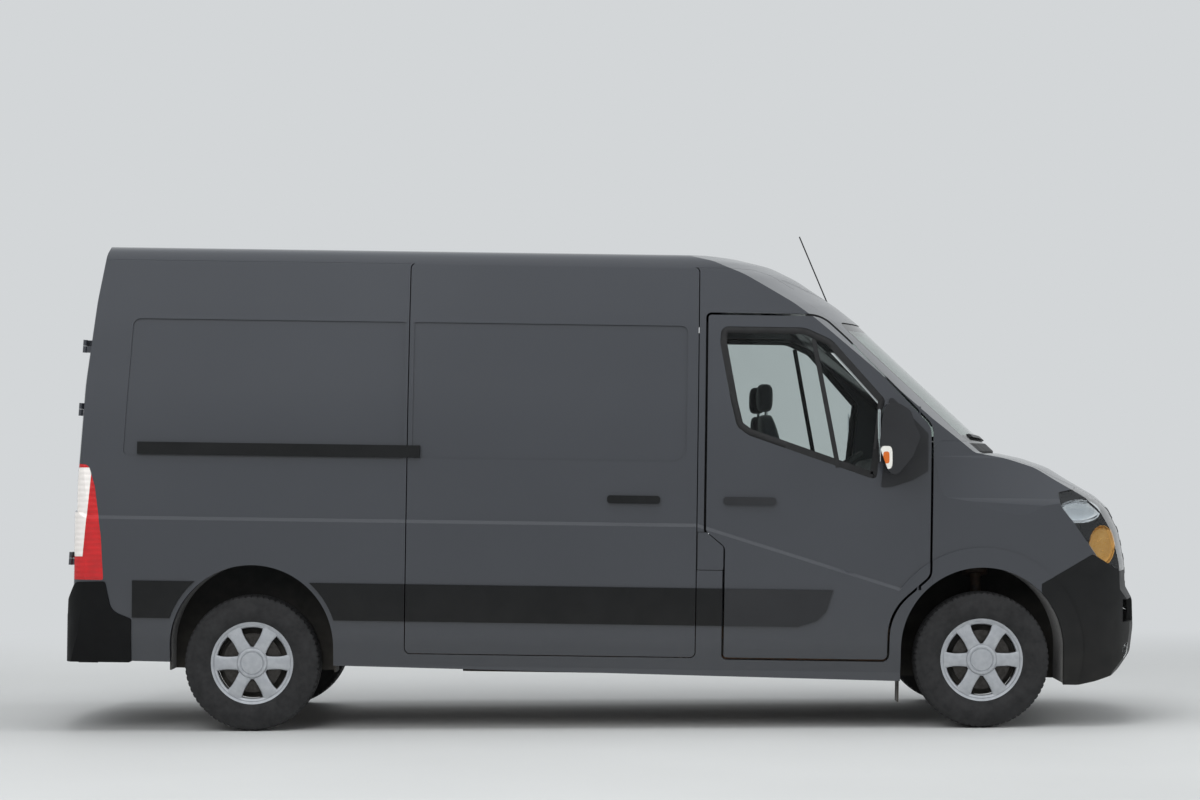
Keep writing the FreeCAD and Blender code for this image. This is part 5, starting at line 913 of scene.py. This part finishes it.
    def shield(self) -> Object:
        """Pressed dust shield behind the disc; it stays with knuckle or axle while the wheel turns."""
        shell = self.turned([
            (0.004, 0.060), (0.004, 0.170), (0.013, 0.175), (0.013, 0.178), (0.001, 0.174), (0.001, 0.060)])
        body = f"knuckle_{self.side.word}" if self.axle is Axle.FRONT else "root"
        return piece(f"dust_shield_{self.corner}", body, UNDERSEAL, [shell])

    def build(self) -> None:
        """Build the tyre, the wheel with its spokes, the cap, the disc and its shield."""
        self.tyre()
        shells = [self.rim(), self.ring(), self.hub()]
        shells += [self.spoke(math.radians(60 * k)) for k in range(self.spokes)]
        stem = curve_through([(0.172, 0.062, 0.0), (0.166, 0.072, 0.0), (0.160, 0.084, 0.0)], 8)
        stem = np.stack([-stem[:, 0] * 0.5, stem[:, 1] * self.out, stem[:, 0] * 0.866], -1) + self.centre
        valve = strip(stem, 0.009, 0.009, (1, 0, 0), power=2)
        name = f"spoked_wheel_{self.corner}"
        item = piece(name, self.body, ALLOY, shells)
        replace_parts(item, f"wheel_{self.corner}")
        piece(f"tyre_valve_{self.corner}", self.body, RUBBER, [valve])
        self.cap()
        self.disc()
        self.shield()


@dataclass
class CadDress:
    """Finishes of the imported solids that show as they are."""

    def build(self) -> None:
        """Give each solid the finish of its real material."""
        groups = {
            ENAMEL: ["body_side_left", "body_side_right", "roof_panel", "front_door_left", "front_door_right",
                     "sliding_door", "rear_door_left", "rear_door_right", "bonnet", "front_wings",
                     "rear_door_hinges", "fuel_flap"],
            GRAINED: ["front_bumper", "front_grille", "side_trim", "scuttle_panel"],
            # The rear bumper gets the darker copy of the grained plastic: painted shade.
            GRAINED_PAINTED_SHADE: ["rear_bumper"],
            # Door trim and mirror cases: grained black made lighter, partly a painted highlight.
            MIRROR_CASE_PAINTED_HIGHLIGHT: ["front_door_trim_left", "front_door_trim_right"],
            SATIN_BLACK: ["wipers", "aerial"],
            WINDSCREEN: ["windscreen"],
            DOOR_GLASS: ["front_door_glass_left", "front_door_glass_right"],
            LAMP_LENS: ["front_lamps"],
            TAIL_LENS: ["tail_lamps"],
            PLYWOOD: ["floor_pan"],
            INNER_PAINT: ["bulkhead", "firewall"],
            UNDERSEAL: ["underframe", "fuel_tank"],
            FIBRE: ["arch_liners"],
            ENGINE_CASTING: ["engine_block"],
            HOT_STEEL: ["exhaust"],
            TRIM: ["dashboard", "seat_bases", "steering_wheel"],
            CAST_IRON: ["knuckle_left", "knuckle_right", "rear_axle"],
        }
        for finish, nodes in groups.items():
            for node in nodes:
                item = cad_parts[node]
                item.data.materials.clear()
                item.data.materials.append(finish.material())


@dataclass
class SeatPads:
    """Cushion, backrest and headrest of one seat, crowned, with bolsters and sewn channels."""

    side: Side
    inner: float = 0.236
    outer: float = 0.748
    cushion_x: Pair = (2.673, 3.151)
    cushion_z: Pair = (0.861, 1.008)
    back_foot: Pair = (2.706, 0.977)
    back_head: Pair = (2.596, 1.636)
    back_thick: float = 0.108
    rest_x: Pair = (2.546, 2.628)
    rest_z: Pair = (1.652, 1.796)
    rest_half: float = 0.132
    post_x: float = 2.597
    post_z: Pair = (1.600, 1.675)
    post_offset: float = 0.062
    post_width: float = 0.011

    @property
    def middle(self) -> float:
        """Distance of the seat's middle from the van's, with its side's sign."""
        return self.side.value * (self.inner + self.outer) / 2

    def cushion_shape(self, unit: Array) -> Array:
        """Cushion: the top rises in a crown, more at the side bolsters, and dips at its seams.

        Args:
            unit: Points in shares of the half sizes.

        Returns:
            The points moved.
        """
        x, y, z = unit.T
        top = np.clip(z, 0, 1) ** 2
        bolster = 0.16 * np.exp(-((np.abs(y) - 0.84) / 0.13) ** 2)
        seams = sum(np.exp(-((x - place) / 0.030) ** 2) for place in (-0.42, -0.08, 0.26, 0.60))
        inside = 1 / (1 + np.exp((np.abs(y) - 0.66) / 0.03))
        edge = np.exp(-((np.abs(y) - 0.68) / 0.030) ** 2)
        lift = -0.18 + bolster + 0.10 * (1 - x ** 2) * (1 - y ** 2) - 0.10 * seams * inside - 0.12 * edge
        return np.column_stack([x, y * (1 - 0.02 * top), z + lift * top])

    def back_shape(self, unit: Array) -> Array:
        """Backrest: the front has side bolsters, a lumbar swell and sewn channels; the back is flatter.

        Args:
            unit: Points in shares of the half sizes.

        Returns:
            The points moved.
        """
        x, y, z = unit.T
        front = np.clip(x, 0, 1) ** 2
        bolster = 0.34 * np.exp(-((np.abs(y) - 0.80) / 0.15) ** 2) * (1 - np.clip(z, 0, 1) ** 3)
        lumbar = 0.20 * np.exp(-((z + 0.45) / 0.35) ** 2) * (1 - y ** 2)
        seams = sum(np.exp(-((z - place) / 0.022) ** 2) for place in (-0.55, -0.22, 0.11, 0.44))
        inside = 1 / (1 + np.exp((np.abs(y) - 0.60) / 0.03))
        edge = np.exp(-((np.abs(y) - 0.62) / 0.030) ** 2)
        lift = -0.34 + bolster + lumbar - 0.12 * seams * inside - 0.14 * edge
        waist = 1 - 0.10 * np.clip(z, 0, 1) ** 2 - 0.03 * np.clip(-z, 0, 1) ** 2
        return np.column_stack([x + lift * front, y * waist, z])

    def cushion(self) -> Object:
        """Seat cushion on its base."""
        x, z = self.cushion_x, self.cushion_z
        half = ((x[1] - x[0]) / 2, (self.outer - self.inner) / 2, (z[1] - z[0]) / 2)
        centre = (sum(x) / 2, self.middle, sum(z) / 2)
        points, quads = pillow(centre, half, 4.5, self.cushion_shape)
        item = piece(f"seat_cushion_{self.side.word}", "root", CLOTH, [(row(points), quads)])
        return item

    def backrest(self) -> Object:
        """Backrest, leaned from its foot to its head."""
        foot, head = self.back_foot, self.back_head
        half = (self.back_thick / 2, (self.outer - self.inner) / 2, (head[1] - foot[1]) / 2)
        points, quads = pillow((0, self.middle, (foot[1] + head[1]) / 2), half, 4.5, self.back_shape)
        share = (points[:, 2] - foot[1]) / (head[1] - foot[1])
        points[:, 0] += foot[0] + (head[0] - foot[0]) * share
        item = piece(f"seat_backrest_{self.side.word}", "root", CLOTH, [(row(points), quads)])
        return item

    def headrest(self) -> Object:
        """Headrest cushion with a forward crown."""
        x, z = self.rest_x, self.rest_z
        points, quads = pillow((sum(x) / 2, self.middle, sum(z) / 2),
                               ((x[1] - x[0]) / 2, self.rest_half, (z[1] - z[0]) / 2), 3.4, None, 36)
        item = piece(f"seat_headrest_{self.side.word}", "root", BOLSTER, [(row(points), quads)])
        return item

    def posts(self) -> Object:
        """Two bright steel posts that carry the headrest."""
        shells = []
        for offset in (-self.post_offset, self.post_offset):
            path = row([(self.post_x, self.middle + offset, z) for z in np.linspace(*self.post_z, 4)])
            shells.append(strip(path, self.post_width, self.post_width, (1, 0, 0), power=2))
        return piece(f"headrest_posts_{self.side.word}", "root", REFLECTOR, shells)

    def build(self) -> list[Object]:
        """Build the pads and posts."""
        pads = [self.cushion(), self.backrest(), self.headrest()]
        self.posts()
        return pads


@dataclass
class CabInterior:
    """Seats in place of their plain solids, and the belts."""

    belt_x: float = 2.318
    belt_y: float = 0.845
    belt_head: float = 1.700
    belt_foot: float = 0.880
    belt_width: float = 0.048
    belt_bow: float = 0.030
    belt_rake: float = 0.060
    belt_lean: float = 0.020

    def belt(self, side: Side) -> None:
        """Seat belt: webbing from a plate high on the pillar down to its reel, with a slack fold.

        Args:
            side: Side of the van.
        """
        out = side.value
        rise = np.linspace(0, 1, 40)
        path = np.column_stack([
            self.belt_x + self.belt_rake * (1 - rise) + self.belt_bow * np.sin(math.pi * rise),
            out * (self.belt_y + self.belt_lean * (1 - rise)),
            self.belt_foot + (self.belt_head - self.belt_foot) * rise])
        webbing = strip(row(path), self.belt_width, 0.0016, (0, out, 0))
        piece(f"seat_belt_{side.word}", "root", WEBBING, [webbing])
        head = np.array([(self.belt_x, out * (self.belt_y + 0.004), self.belt_head - 0.022 + 0.014 * k)
                         for k in range(5)])
        plate = strip(row(head), 0.066, 0.014, (0, out, 0), power=5)
        piece(f"belt_guide_{side.word}", "root", SATIN_BLACK, [plate])

    def build(self) -> None:
        """Build seats in place of their plain solids, then the belts."""
        pads = []
        for side in Side:
            pads += SeatPads(side).build()
        for pad in pads:
            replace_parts(pad, "seats")
        for side in Side:
            self.belt(side)


@dataclass
class FrontLamps:
    """Insides of the headlamps, seen through their lenses: a smoked bezel with two bright bowls."""

    look: Pair = (-0.60, -0.80)
    middle: Place = (2.50, 0.80, 0.98)
    half: Pair = (0.27, 0.25)
    step: float = 0.0035
    set_back: float = 0.012
    upper: Pair = (2.425, 1.088)
    upper_half: Pair = (0.108, 0.056)
    lower: Pair = (2.545, 0.915)
    lower_half: Pair = (0.066, 0.100)
    bowl_depth: float = 0.028
    wall: float = 0.0012

    def bowl_share(self, points: Array, centre: Pair, half: Pair) -> Array:
        """One less the squared distance of a point from a bowl's middle, in shares of its half sizes."""
        return 1 - ((points[:, 0] - centre[0]) / half[0]) ** 2 - ((points[:, 2] - centre[1]) / half[1]) ** 2

    def build_side(self, side: Side) -> None:
        """Cast a grid onto the lens, set it back behind it and sink the bowls in it.

        Inside a bowl each point goes back by the bowl's depth times the square root of its share.

        Args:
            side: Side of the van.
        """
        out = float(side.value)
        way = np.array([self.look[0], out * self.look[1], 0.0])
        across = np.array([-self.look[1], out * self.look[0], 0.0])
        a, b = np.meshgrid(np.arange(-self.half[0], self.half[0], self.step),
                           np.arange(-self.half[1], self.half[1], self.step), indexing="ij")
        middle = np.array(self.middle) * (1, out, 1)
        starts = middle - way + a.reshape(-1, 1) * across + b.reshape(-1, 1) * np.array([0, 0, 1.0])
        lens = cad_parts["front_lamps"]
        casts = [lens.ray_cast(start, way) for start in starts]
        met = np.array([cast[0] for cast in casts])
        points = np.array([cast[1] for cast in casts])
        shares = [np.clip(self.bowl_share(points, *bowl), 0, 1)
                  for bowl in ((self.upper, self.upper_half), (self.lower, self.lower_half))]
        sunk = self.set_back + self.bowl_depth * (np.sqrt(shares[0]) + np.sqrt(shares[1]))
        points = points + sunk[:, None] * way
        quads = grid_faces(*a.shape, False, False)
        quads = quads[met[quads].all(1)]
        span = np.linalg.norm(points[quads] - points[quads[:, :1]], axis=2).max(1)
        quads = quads[span < 8 * self.step]
        edge = np.cross(points[quads[:, 1]] - points[quads[:, 0]], points[quads[:, 2]] - points[quads[:, 0]])
        if (edge @ way).sum() > 0:
            quads = quads[:, ::-1]
        inside = [share[quads].max(1) > 0 for share in shares]
        for name, finish, keep in (("lamp_bezel", BEZEL, ~(inside[0] | inside[1])),
                                   ("main_bowl", REFLECTOR, inside[0]),
                                   ("indicator_bowl", AMBER_BOWL, inside[1])):
            if not keep.any():
                LOG.warning("%s %s: nothing in the grid", name, side.word)
                continue
            used, numbers = np.unique(quads[keep], return_inverse=True)
            item = piece(f"{name}_{side.word}", "root", finish, [(points[used], numbers.reshape(-1, 4))],
                         closed=False)
            thicken(item, self.wall, -1.0)

    def build(self) -> None:
        """Build both headlamps' insides."""
        for side in Side:
            self.build_side(side)


@dataclass
class NoseBacking:
    """Dark duct wall behind the grille and the openings of the bumper."""

    reach: float = 0.84
    foot: float = 0.37
    head: float = 0.79
    level: float = 0.36
    set_back: float = 0.075
    lean: float = 0.22
    wall: float = 0.003
    rearmost: float = 2.3

    def build(self) -> None:
        """Carry an even curve, fitted through the bumper's face, upwards behind the openings."""
        across = np.linspace(-self.reach, self.reach, 57)
        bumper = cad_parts["front_bumper"]
        casts = [bumper.ray_cast((AHEAD, y, self.level), (-1, 0, 0)) for y in across]
        known = np.array([(y, cast[1][0]) for y, cast in zip(across, casts)
                          if cast[0] and cast[1][0] > self.rearmost])
        fit = np.polyfit(known[:, 0] ** 2, known[:, 1], 2)
        rise = np.linspace(self.foot, self.head, 12)
        y, z = np.meshgrid(across, rise, indexing="ij")
        x = np.polyval(fit, y ** 2) - self.set_back - self.lean * (z - self.foot)
        points = np.stack([x, y, z], -1).reshape(-1, 3)
        item = piece("nose_duct", "root", SATIN_BLACK, [(points, grid_faces(*y.shape, False, False))],
                     closed=False)
        thicken(item, self.wall, 0.0)


@dataclass
class DoorSeal:
    """Rubber weatherstrip on the pillar behind a front door's rear gap."""

    side: Side
    foot: Pair = (0.5278, 0.965)
    head: Pair = (0.5468, 2.060)
    clearance: float = 0.0095
    width: float = 0.044
    thickness: float = 0.008
    overlap: float = 0.018
    offset: float = 0.006

    def build(self) -> None:
        """Carry the strip up the gap, a clearance inside the door's inner wall.

        The wall's distance from the middle is a cubic of the height, fitted through points cast onto it.
        """
        out = float(self.side.value)
        z = np.linspace(self.foot[1], self.head[1], 40)
        x = np.interp(z, (self.foot[1], self.head[1]), (self.foot[0], self.head[0]))
        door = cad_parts[f"front_door_{self.side.word}"]
        casts = [door.ray_cast((u + self.overlap, out * 0.3, w), (0, out, 0)) for u, w in zip(x, z)]
        known = np.array([(w, abs(cast[1][1])) for w, cast in zip(z, casts) if cast[0]])
        fit = np.polyfit(known[:, 0], known[:, 1], 3)
        slack = max(0.0, float((np.polyval(fit, known[:, 0]) - known[:, 1]).max()))
        y = out * (np.polyval(fit, z) - slack - self.clearance)
        piece(f"door_seal_{self.side.word}", "root", SEAL,
              [strip(np.column_stack([x - self.offset, y, z]), self.width, self.thickness, (0, out, 0),
                     power=5)])


@dataclass
class MirrorGlass:
    """Silvered plate in the rear face of a door mirror's case."""

    side: Side
    middle: Place = (2.95, 1.147, 1.530)
    half: Place = (0.004, 0.066, 0.135)

    def build(self) -> None:
        """Set the plate on the case's rear face."""
        out = float(self.side.value)
        start = row([(self.middle[0], out * self.middle[1], self.middle[2])])[0]
        place = touch(f"front_door_trim_{self.side.word}", tuple(start), (1, 0, 0))
        piece(f"mirror_glass_{self.side.word}", f"front_door_{self.side.word}", MIRROR_GLASS,
              [pillow(place, self.half, 5, None, 32)])


@dataclass
class PlatesAndHandle:
    """Blank number plates front and rear, and the rear doors' handle."""

    plate_width: float = 0.520
    plate_height: float = 0.110
    border: float = 0.008

    def plate(self, name: str, body: str, centre: Array, axes: Array, holder: Pair) -> None:
        """Blank plate in a plain holder.

        Args:
            name: Plain name.
            body: Body that it rides on.
            centre: Middle of the holder's face.
            axes: Outward, sideways and upward directions of the plate, one a line.
            holder: Depth and height of the holder.
        """
        depth, height = holder
        half = (depth / 2, self.plate_width / 2 + self.border, height / 2)
        points, quads = pillow((-depth / 2, 0, 0), half, 14, None, 24)
        piece(f"{name}_holder", body, SATIN_BLACK, [(points @ axes + centre, quads)])
        points, quads = pillow((0.0008, 0, 0), (0.0016, self.plate_width / 2, self.plate_height / 2), 14,
                               None, 24)
        piece(name, body, PLATE, [(points @ axes + centre, quads)])

    def build(self) -> None:
        """Build the front and rear plates and the rear handle."""
        lower = touch("front_bumper", (AHEAD, 0.0, 0.36), (-1, 0, 0))
        self.plate("front_plate", "root", np.array([lower[0] - 0.004, 0.0, 0.462]), np.eye(3), (0.016, 0.186))
        node = "rear_door_left"
        inner, outer = (touch(node, (-AHEAD, y, 0.93), (1, 0, 0)) for y in (0.08, 0.58))
        under, over = (touch(node, (-AHEAD, 0.33, z), (1, 0, 0)) for z in (0.88, 0.98))
        sideways = (outer - inner) / np.linalg.norm(outer - inner)
        upward = (over - under) / np.linalg.norm(over - under)
        outward = np.cross(upward, sideways)
        outward *= -np.sign(outward[0]) / np.linalg.norm(outward)
        face = (inner + outer) / 2 + outward * 0.0125
        self.plate("rear_plate", node, face, np.stack([outward, sideways, upward]),
                   (0.012, self.plate_height + 2 * self.border))
        grip = touch("rear_door_right", (-AHEAD, -0.11, 1.12), (1, 0, 0))
        path = curve_through([grip + (-0.002, -0.085, 0), grip + (-0.034, -0.060, 0), grip + (-0.040, 0, 0),
                              grip + (-0.034, 0.050, 0), grip + (-0.002, 0.066, 0)], 40)
        piece("rear_door_handle", "rear_door_right", GRAINED,
              [strip(path, 0.028, 0.016, (-1, 0, 0), power=4)])


@dataclass
class DoorWindow:
    """Rubber run round a front door's pane, and the bar that divides the pane."""

    side: Side
    run_width: float = 0.034
    proud: float = 0.0030
    lift: float = 0.0004
    facing: float = 0.75
    bar_top: Pair = (2.813, 2.020)
    bar_foot: Pair = (2.942, 1.372)
    bar_width: float = 0.024

    def run(self) -> Object:
        """Rubber run: the pane's outer face, all but what lies inside a line drawn in from its edge."""
        node = f"front_door_glass_{self.side.word}"
        work = bmesh.new()
        work.from_mesh(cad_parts[node].data)
        bmesh.ops.remove_doubles(work, verts=work.verts, dist=1e-5)
        inner = [f for f in work.faces if f.normal.y * self.side.value < self.facing]
        bmesh.ops.delete(work, geom=inner, context="FACES")
        bmesh.ops.inset_region(work, faces=work.faces[:], thickness=self.run_width, use_boundary=True,
                               use_even_offset=True)
        rim = {v for e in work.edges if e.is_boundary for v in e.verts}
        middle = [f for f in work.faces if not any(v in rim for v in f.verts)]
        bmesh.ops.delete(work, geom=middle, context="FACES")
        mesh = bpy.data.meshes.new(f"window_run_{self.side.word}")
        work.to_mesh(mesh)
        work.free()
        points = np.empty(len(mesh.vertices) * 3, np.float32)
        mesh.vertices.foreach_get("co", points)
        points = points.reshape(-1, 3) + np.array([0, self.side.value * self.lift, 0], np.float32)
        mesh.vertices.foreach_set("co", points.ravel())
        mesh.materials.append(SEAL.material())
        item = placed(mesh.name, mesh)
        thicken(item, self.proud, 1.0)
        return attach(item, f"front_door_{self.side.word}")

    def bar(self) -> Object:
        """Upright bar that divides the pane, just outside the glass.

        Its distance from the middle is a parabola of the height, fitted through points cast onto the pane.
        """
        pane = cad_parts[f"front_door_glass_{self.side.word}"]
        out = float(self.side.value)
        top, foot = (row([(x, 0.0, z)])[0] for x, z in (self.bar_top, self.bar_foot))
        line = np.linspace(top, foot, 40)
        casts = [pane.ray_cast((x, out * 1.2, z), (0, -out, 0)) for x, _, z in line]
        known = np.array([(cast[1][2], cast[1][1]) for cast in casts if cast[0]])
        line[:, 1] = np.polyval(np.polyfit(known[:, 0], known[:, 1], 2), line[:, 2]) + out * 0.001
        return piece(f"window_bar_{self.side.word}", f"front_door_{self.side.word}", SEAL,
                     [strip(line, self.bar_width, 0.007, (0, out, 0))])

    def build(self) -> None:
        """Build the run and the bar."""
        self.run()
        self.bar()


@dataclass
class Stage:
    """Pale floor and backdrop, soft lamps and the camera."""

    camera_at: Place = (0.1219, -17.63, 1.425)
    lens: float = 99.12
    shift: Pair = (-0.02, 0.0392)
    roll: float = 0.0048
    sky: str = "#F2F4F6"
    sky_light: float = 0.52

    def floor(self) -> None:
        """Matt floor with a faint mottle."""
        mesh = bpy.data.meshes.new("floor")
        side = np.array([(-60, -60, 0), (60, -60, 0), (60, 60, 0), (-60, 60, 0)], float)
        fill_mesh(mesh, side - (0, 0, 0.0005), np.array([[0, 1, 2, 3]]))
        item = placed("floor", mesh)
        mesh.materials.append(SCREED.material())

    def world(self) -> None:
        """Even pale world: a little light everywhere, and a pale background to the eye and to gloss."""
        world = bpy.data.worlds.new("studio")
        bpy.context.scene.world = world
        world.use_nodes = True
        tree = world.node_tree
        tree.nodes.clear()
        light = add(tree, "Background", {"Color": linear(self.sky), "Strength": self.sky_light})
        way = add(tree, "TexCoord").outputs["Generated"]
        height = add(tree, "SeparateXYZ", {"Vector": way}).outputs["Z"]
        rise = add(tree, "MapRange", {"Value": height, "From Min": 0.15, "From Max": 0.85,
                                      "To Min": 1.0, "To Max": 1.5}).outputs["Result"]
        pale = add(tree, "Background", {"Color": linear(BACKDROP), "Strength": rise})
        mix = add(tree, "MixShader", {0: seen(tree), 1: light.outputs[0], 2: pale.outputs[0]})
        add(tree, "OutputWorld", {"Surface": mix.outputs[0]})

    def lamp(self, name: str, at: Place, aim: Place, size: float, power: float) -> None:
        """Square soft lamp that faces a point, unseen in gloss and through glass.

        Args:
            name: Its name.
            at: Its place.
            aim: The point.
            size: Its side in metres.
            power: Its power in watts.
        """
        data = bpy.data.lights.new(name, "AREA")
        data.shape, data.size, data.energy = "SQUARE", size, power
        item = placed(name, data)
        way = np.asarray(aim, float) - np.asarray(at, float)
        flat = math.hypot(way[0], way[1])
        item.rotation_euler = (math.atan2(flat, -way[2]), 0.0, math.atan2(way[1], way[0]) - math.pi / 2)
        item.location = at
        item.visible_glossy = False
        item.visible_transmission = False

    def camera(self) -> None:
        """Camera at the photograph's place, level, with a small roll."""
        data = bpy.data.cameras.new("camera")
        data.lens, data.sensor_width = self.lens, 36.0
        data.shift_x, data.shift_y = self.shift
        item = placed("camera", data)
        item.location = self.camera_at
        item.rotation_euler = (math.radians(90), self.roll, 0.0)
        bpy.context.scene.camera = item

    def build(self) -> None:
        """Set the stage."""
        bpy.context.scene.view_settings.view_transform = "Standard"
        self.floor()
        self.world()
        self.lamp("overhead_softbox", (0.0, -1.5, 7.5), (0.0, 0.0, 1.0), 7.0, 420)
        self.lamp("side_softbox", (-3.0, -9.0, 5.5), (0.0, 0.0, 1.1), 5.0, 420)
        self.lamp("front_softbox", (9.0, -3.5, 4.0), (1.5, 0.0, 1.1), 4.0, 220)
        self.lamp("far_softbox", (-2.0, 8.5, 5.0), (0.0, 0.0, 1.2), 5.0, 260)
        self.camera()


def main() -> None:
    """Build every sub-assembly in order."""
    logging.basicConfig(level=logging.INFO, format="%(message)s")
    Stage().build()
    CadDress().build()
    for axle in Axle:
        for side in Side:
            RoadWheel(axle, side).build()
    CabInterior().build()
    FrontLamps().build()
    for side in Side:
        DoorWindow(side).build()
        MirrorGlass(side).build()
        DoorSeal(side).build()
    NoseBacking().build()
    PlatesAndHandle().build()


if __name__ == "__main__":
    main()
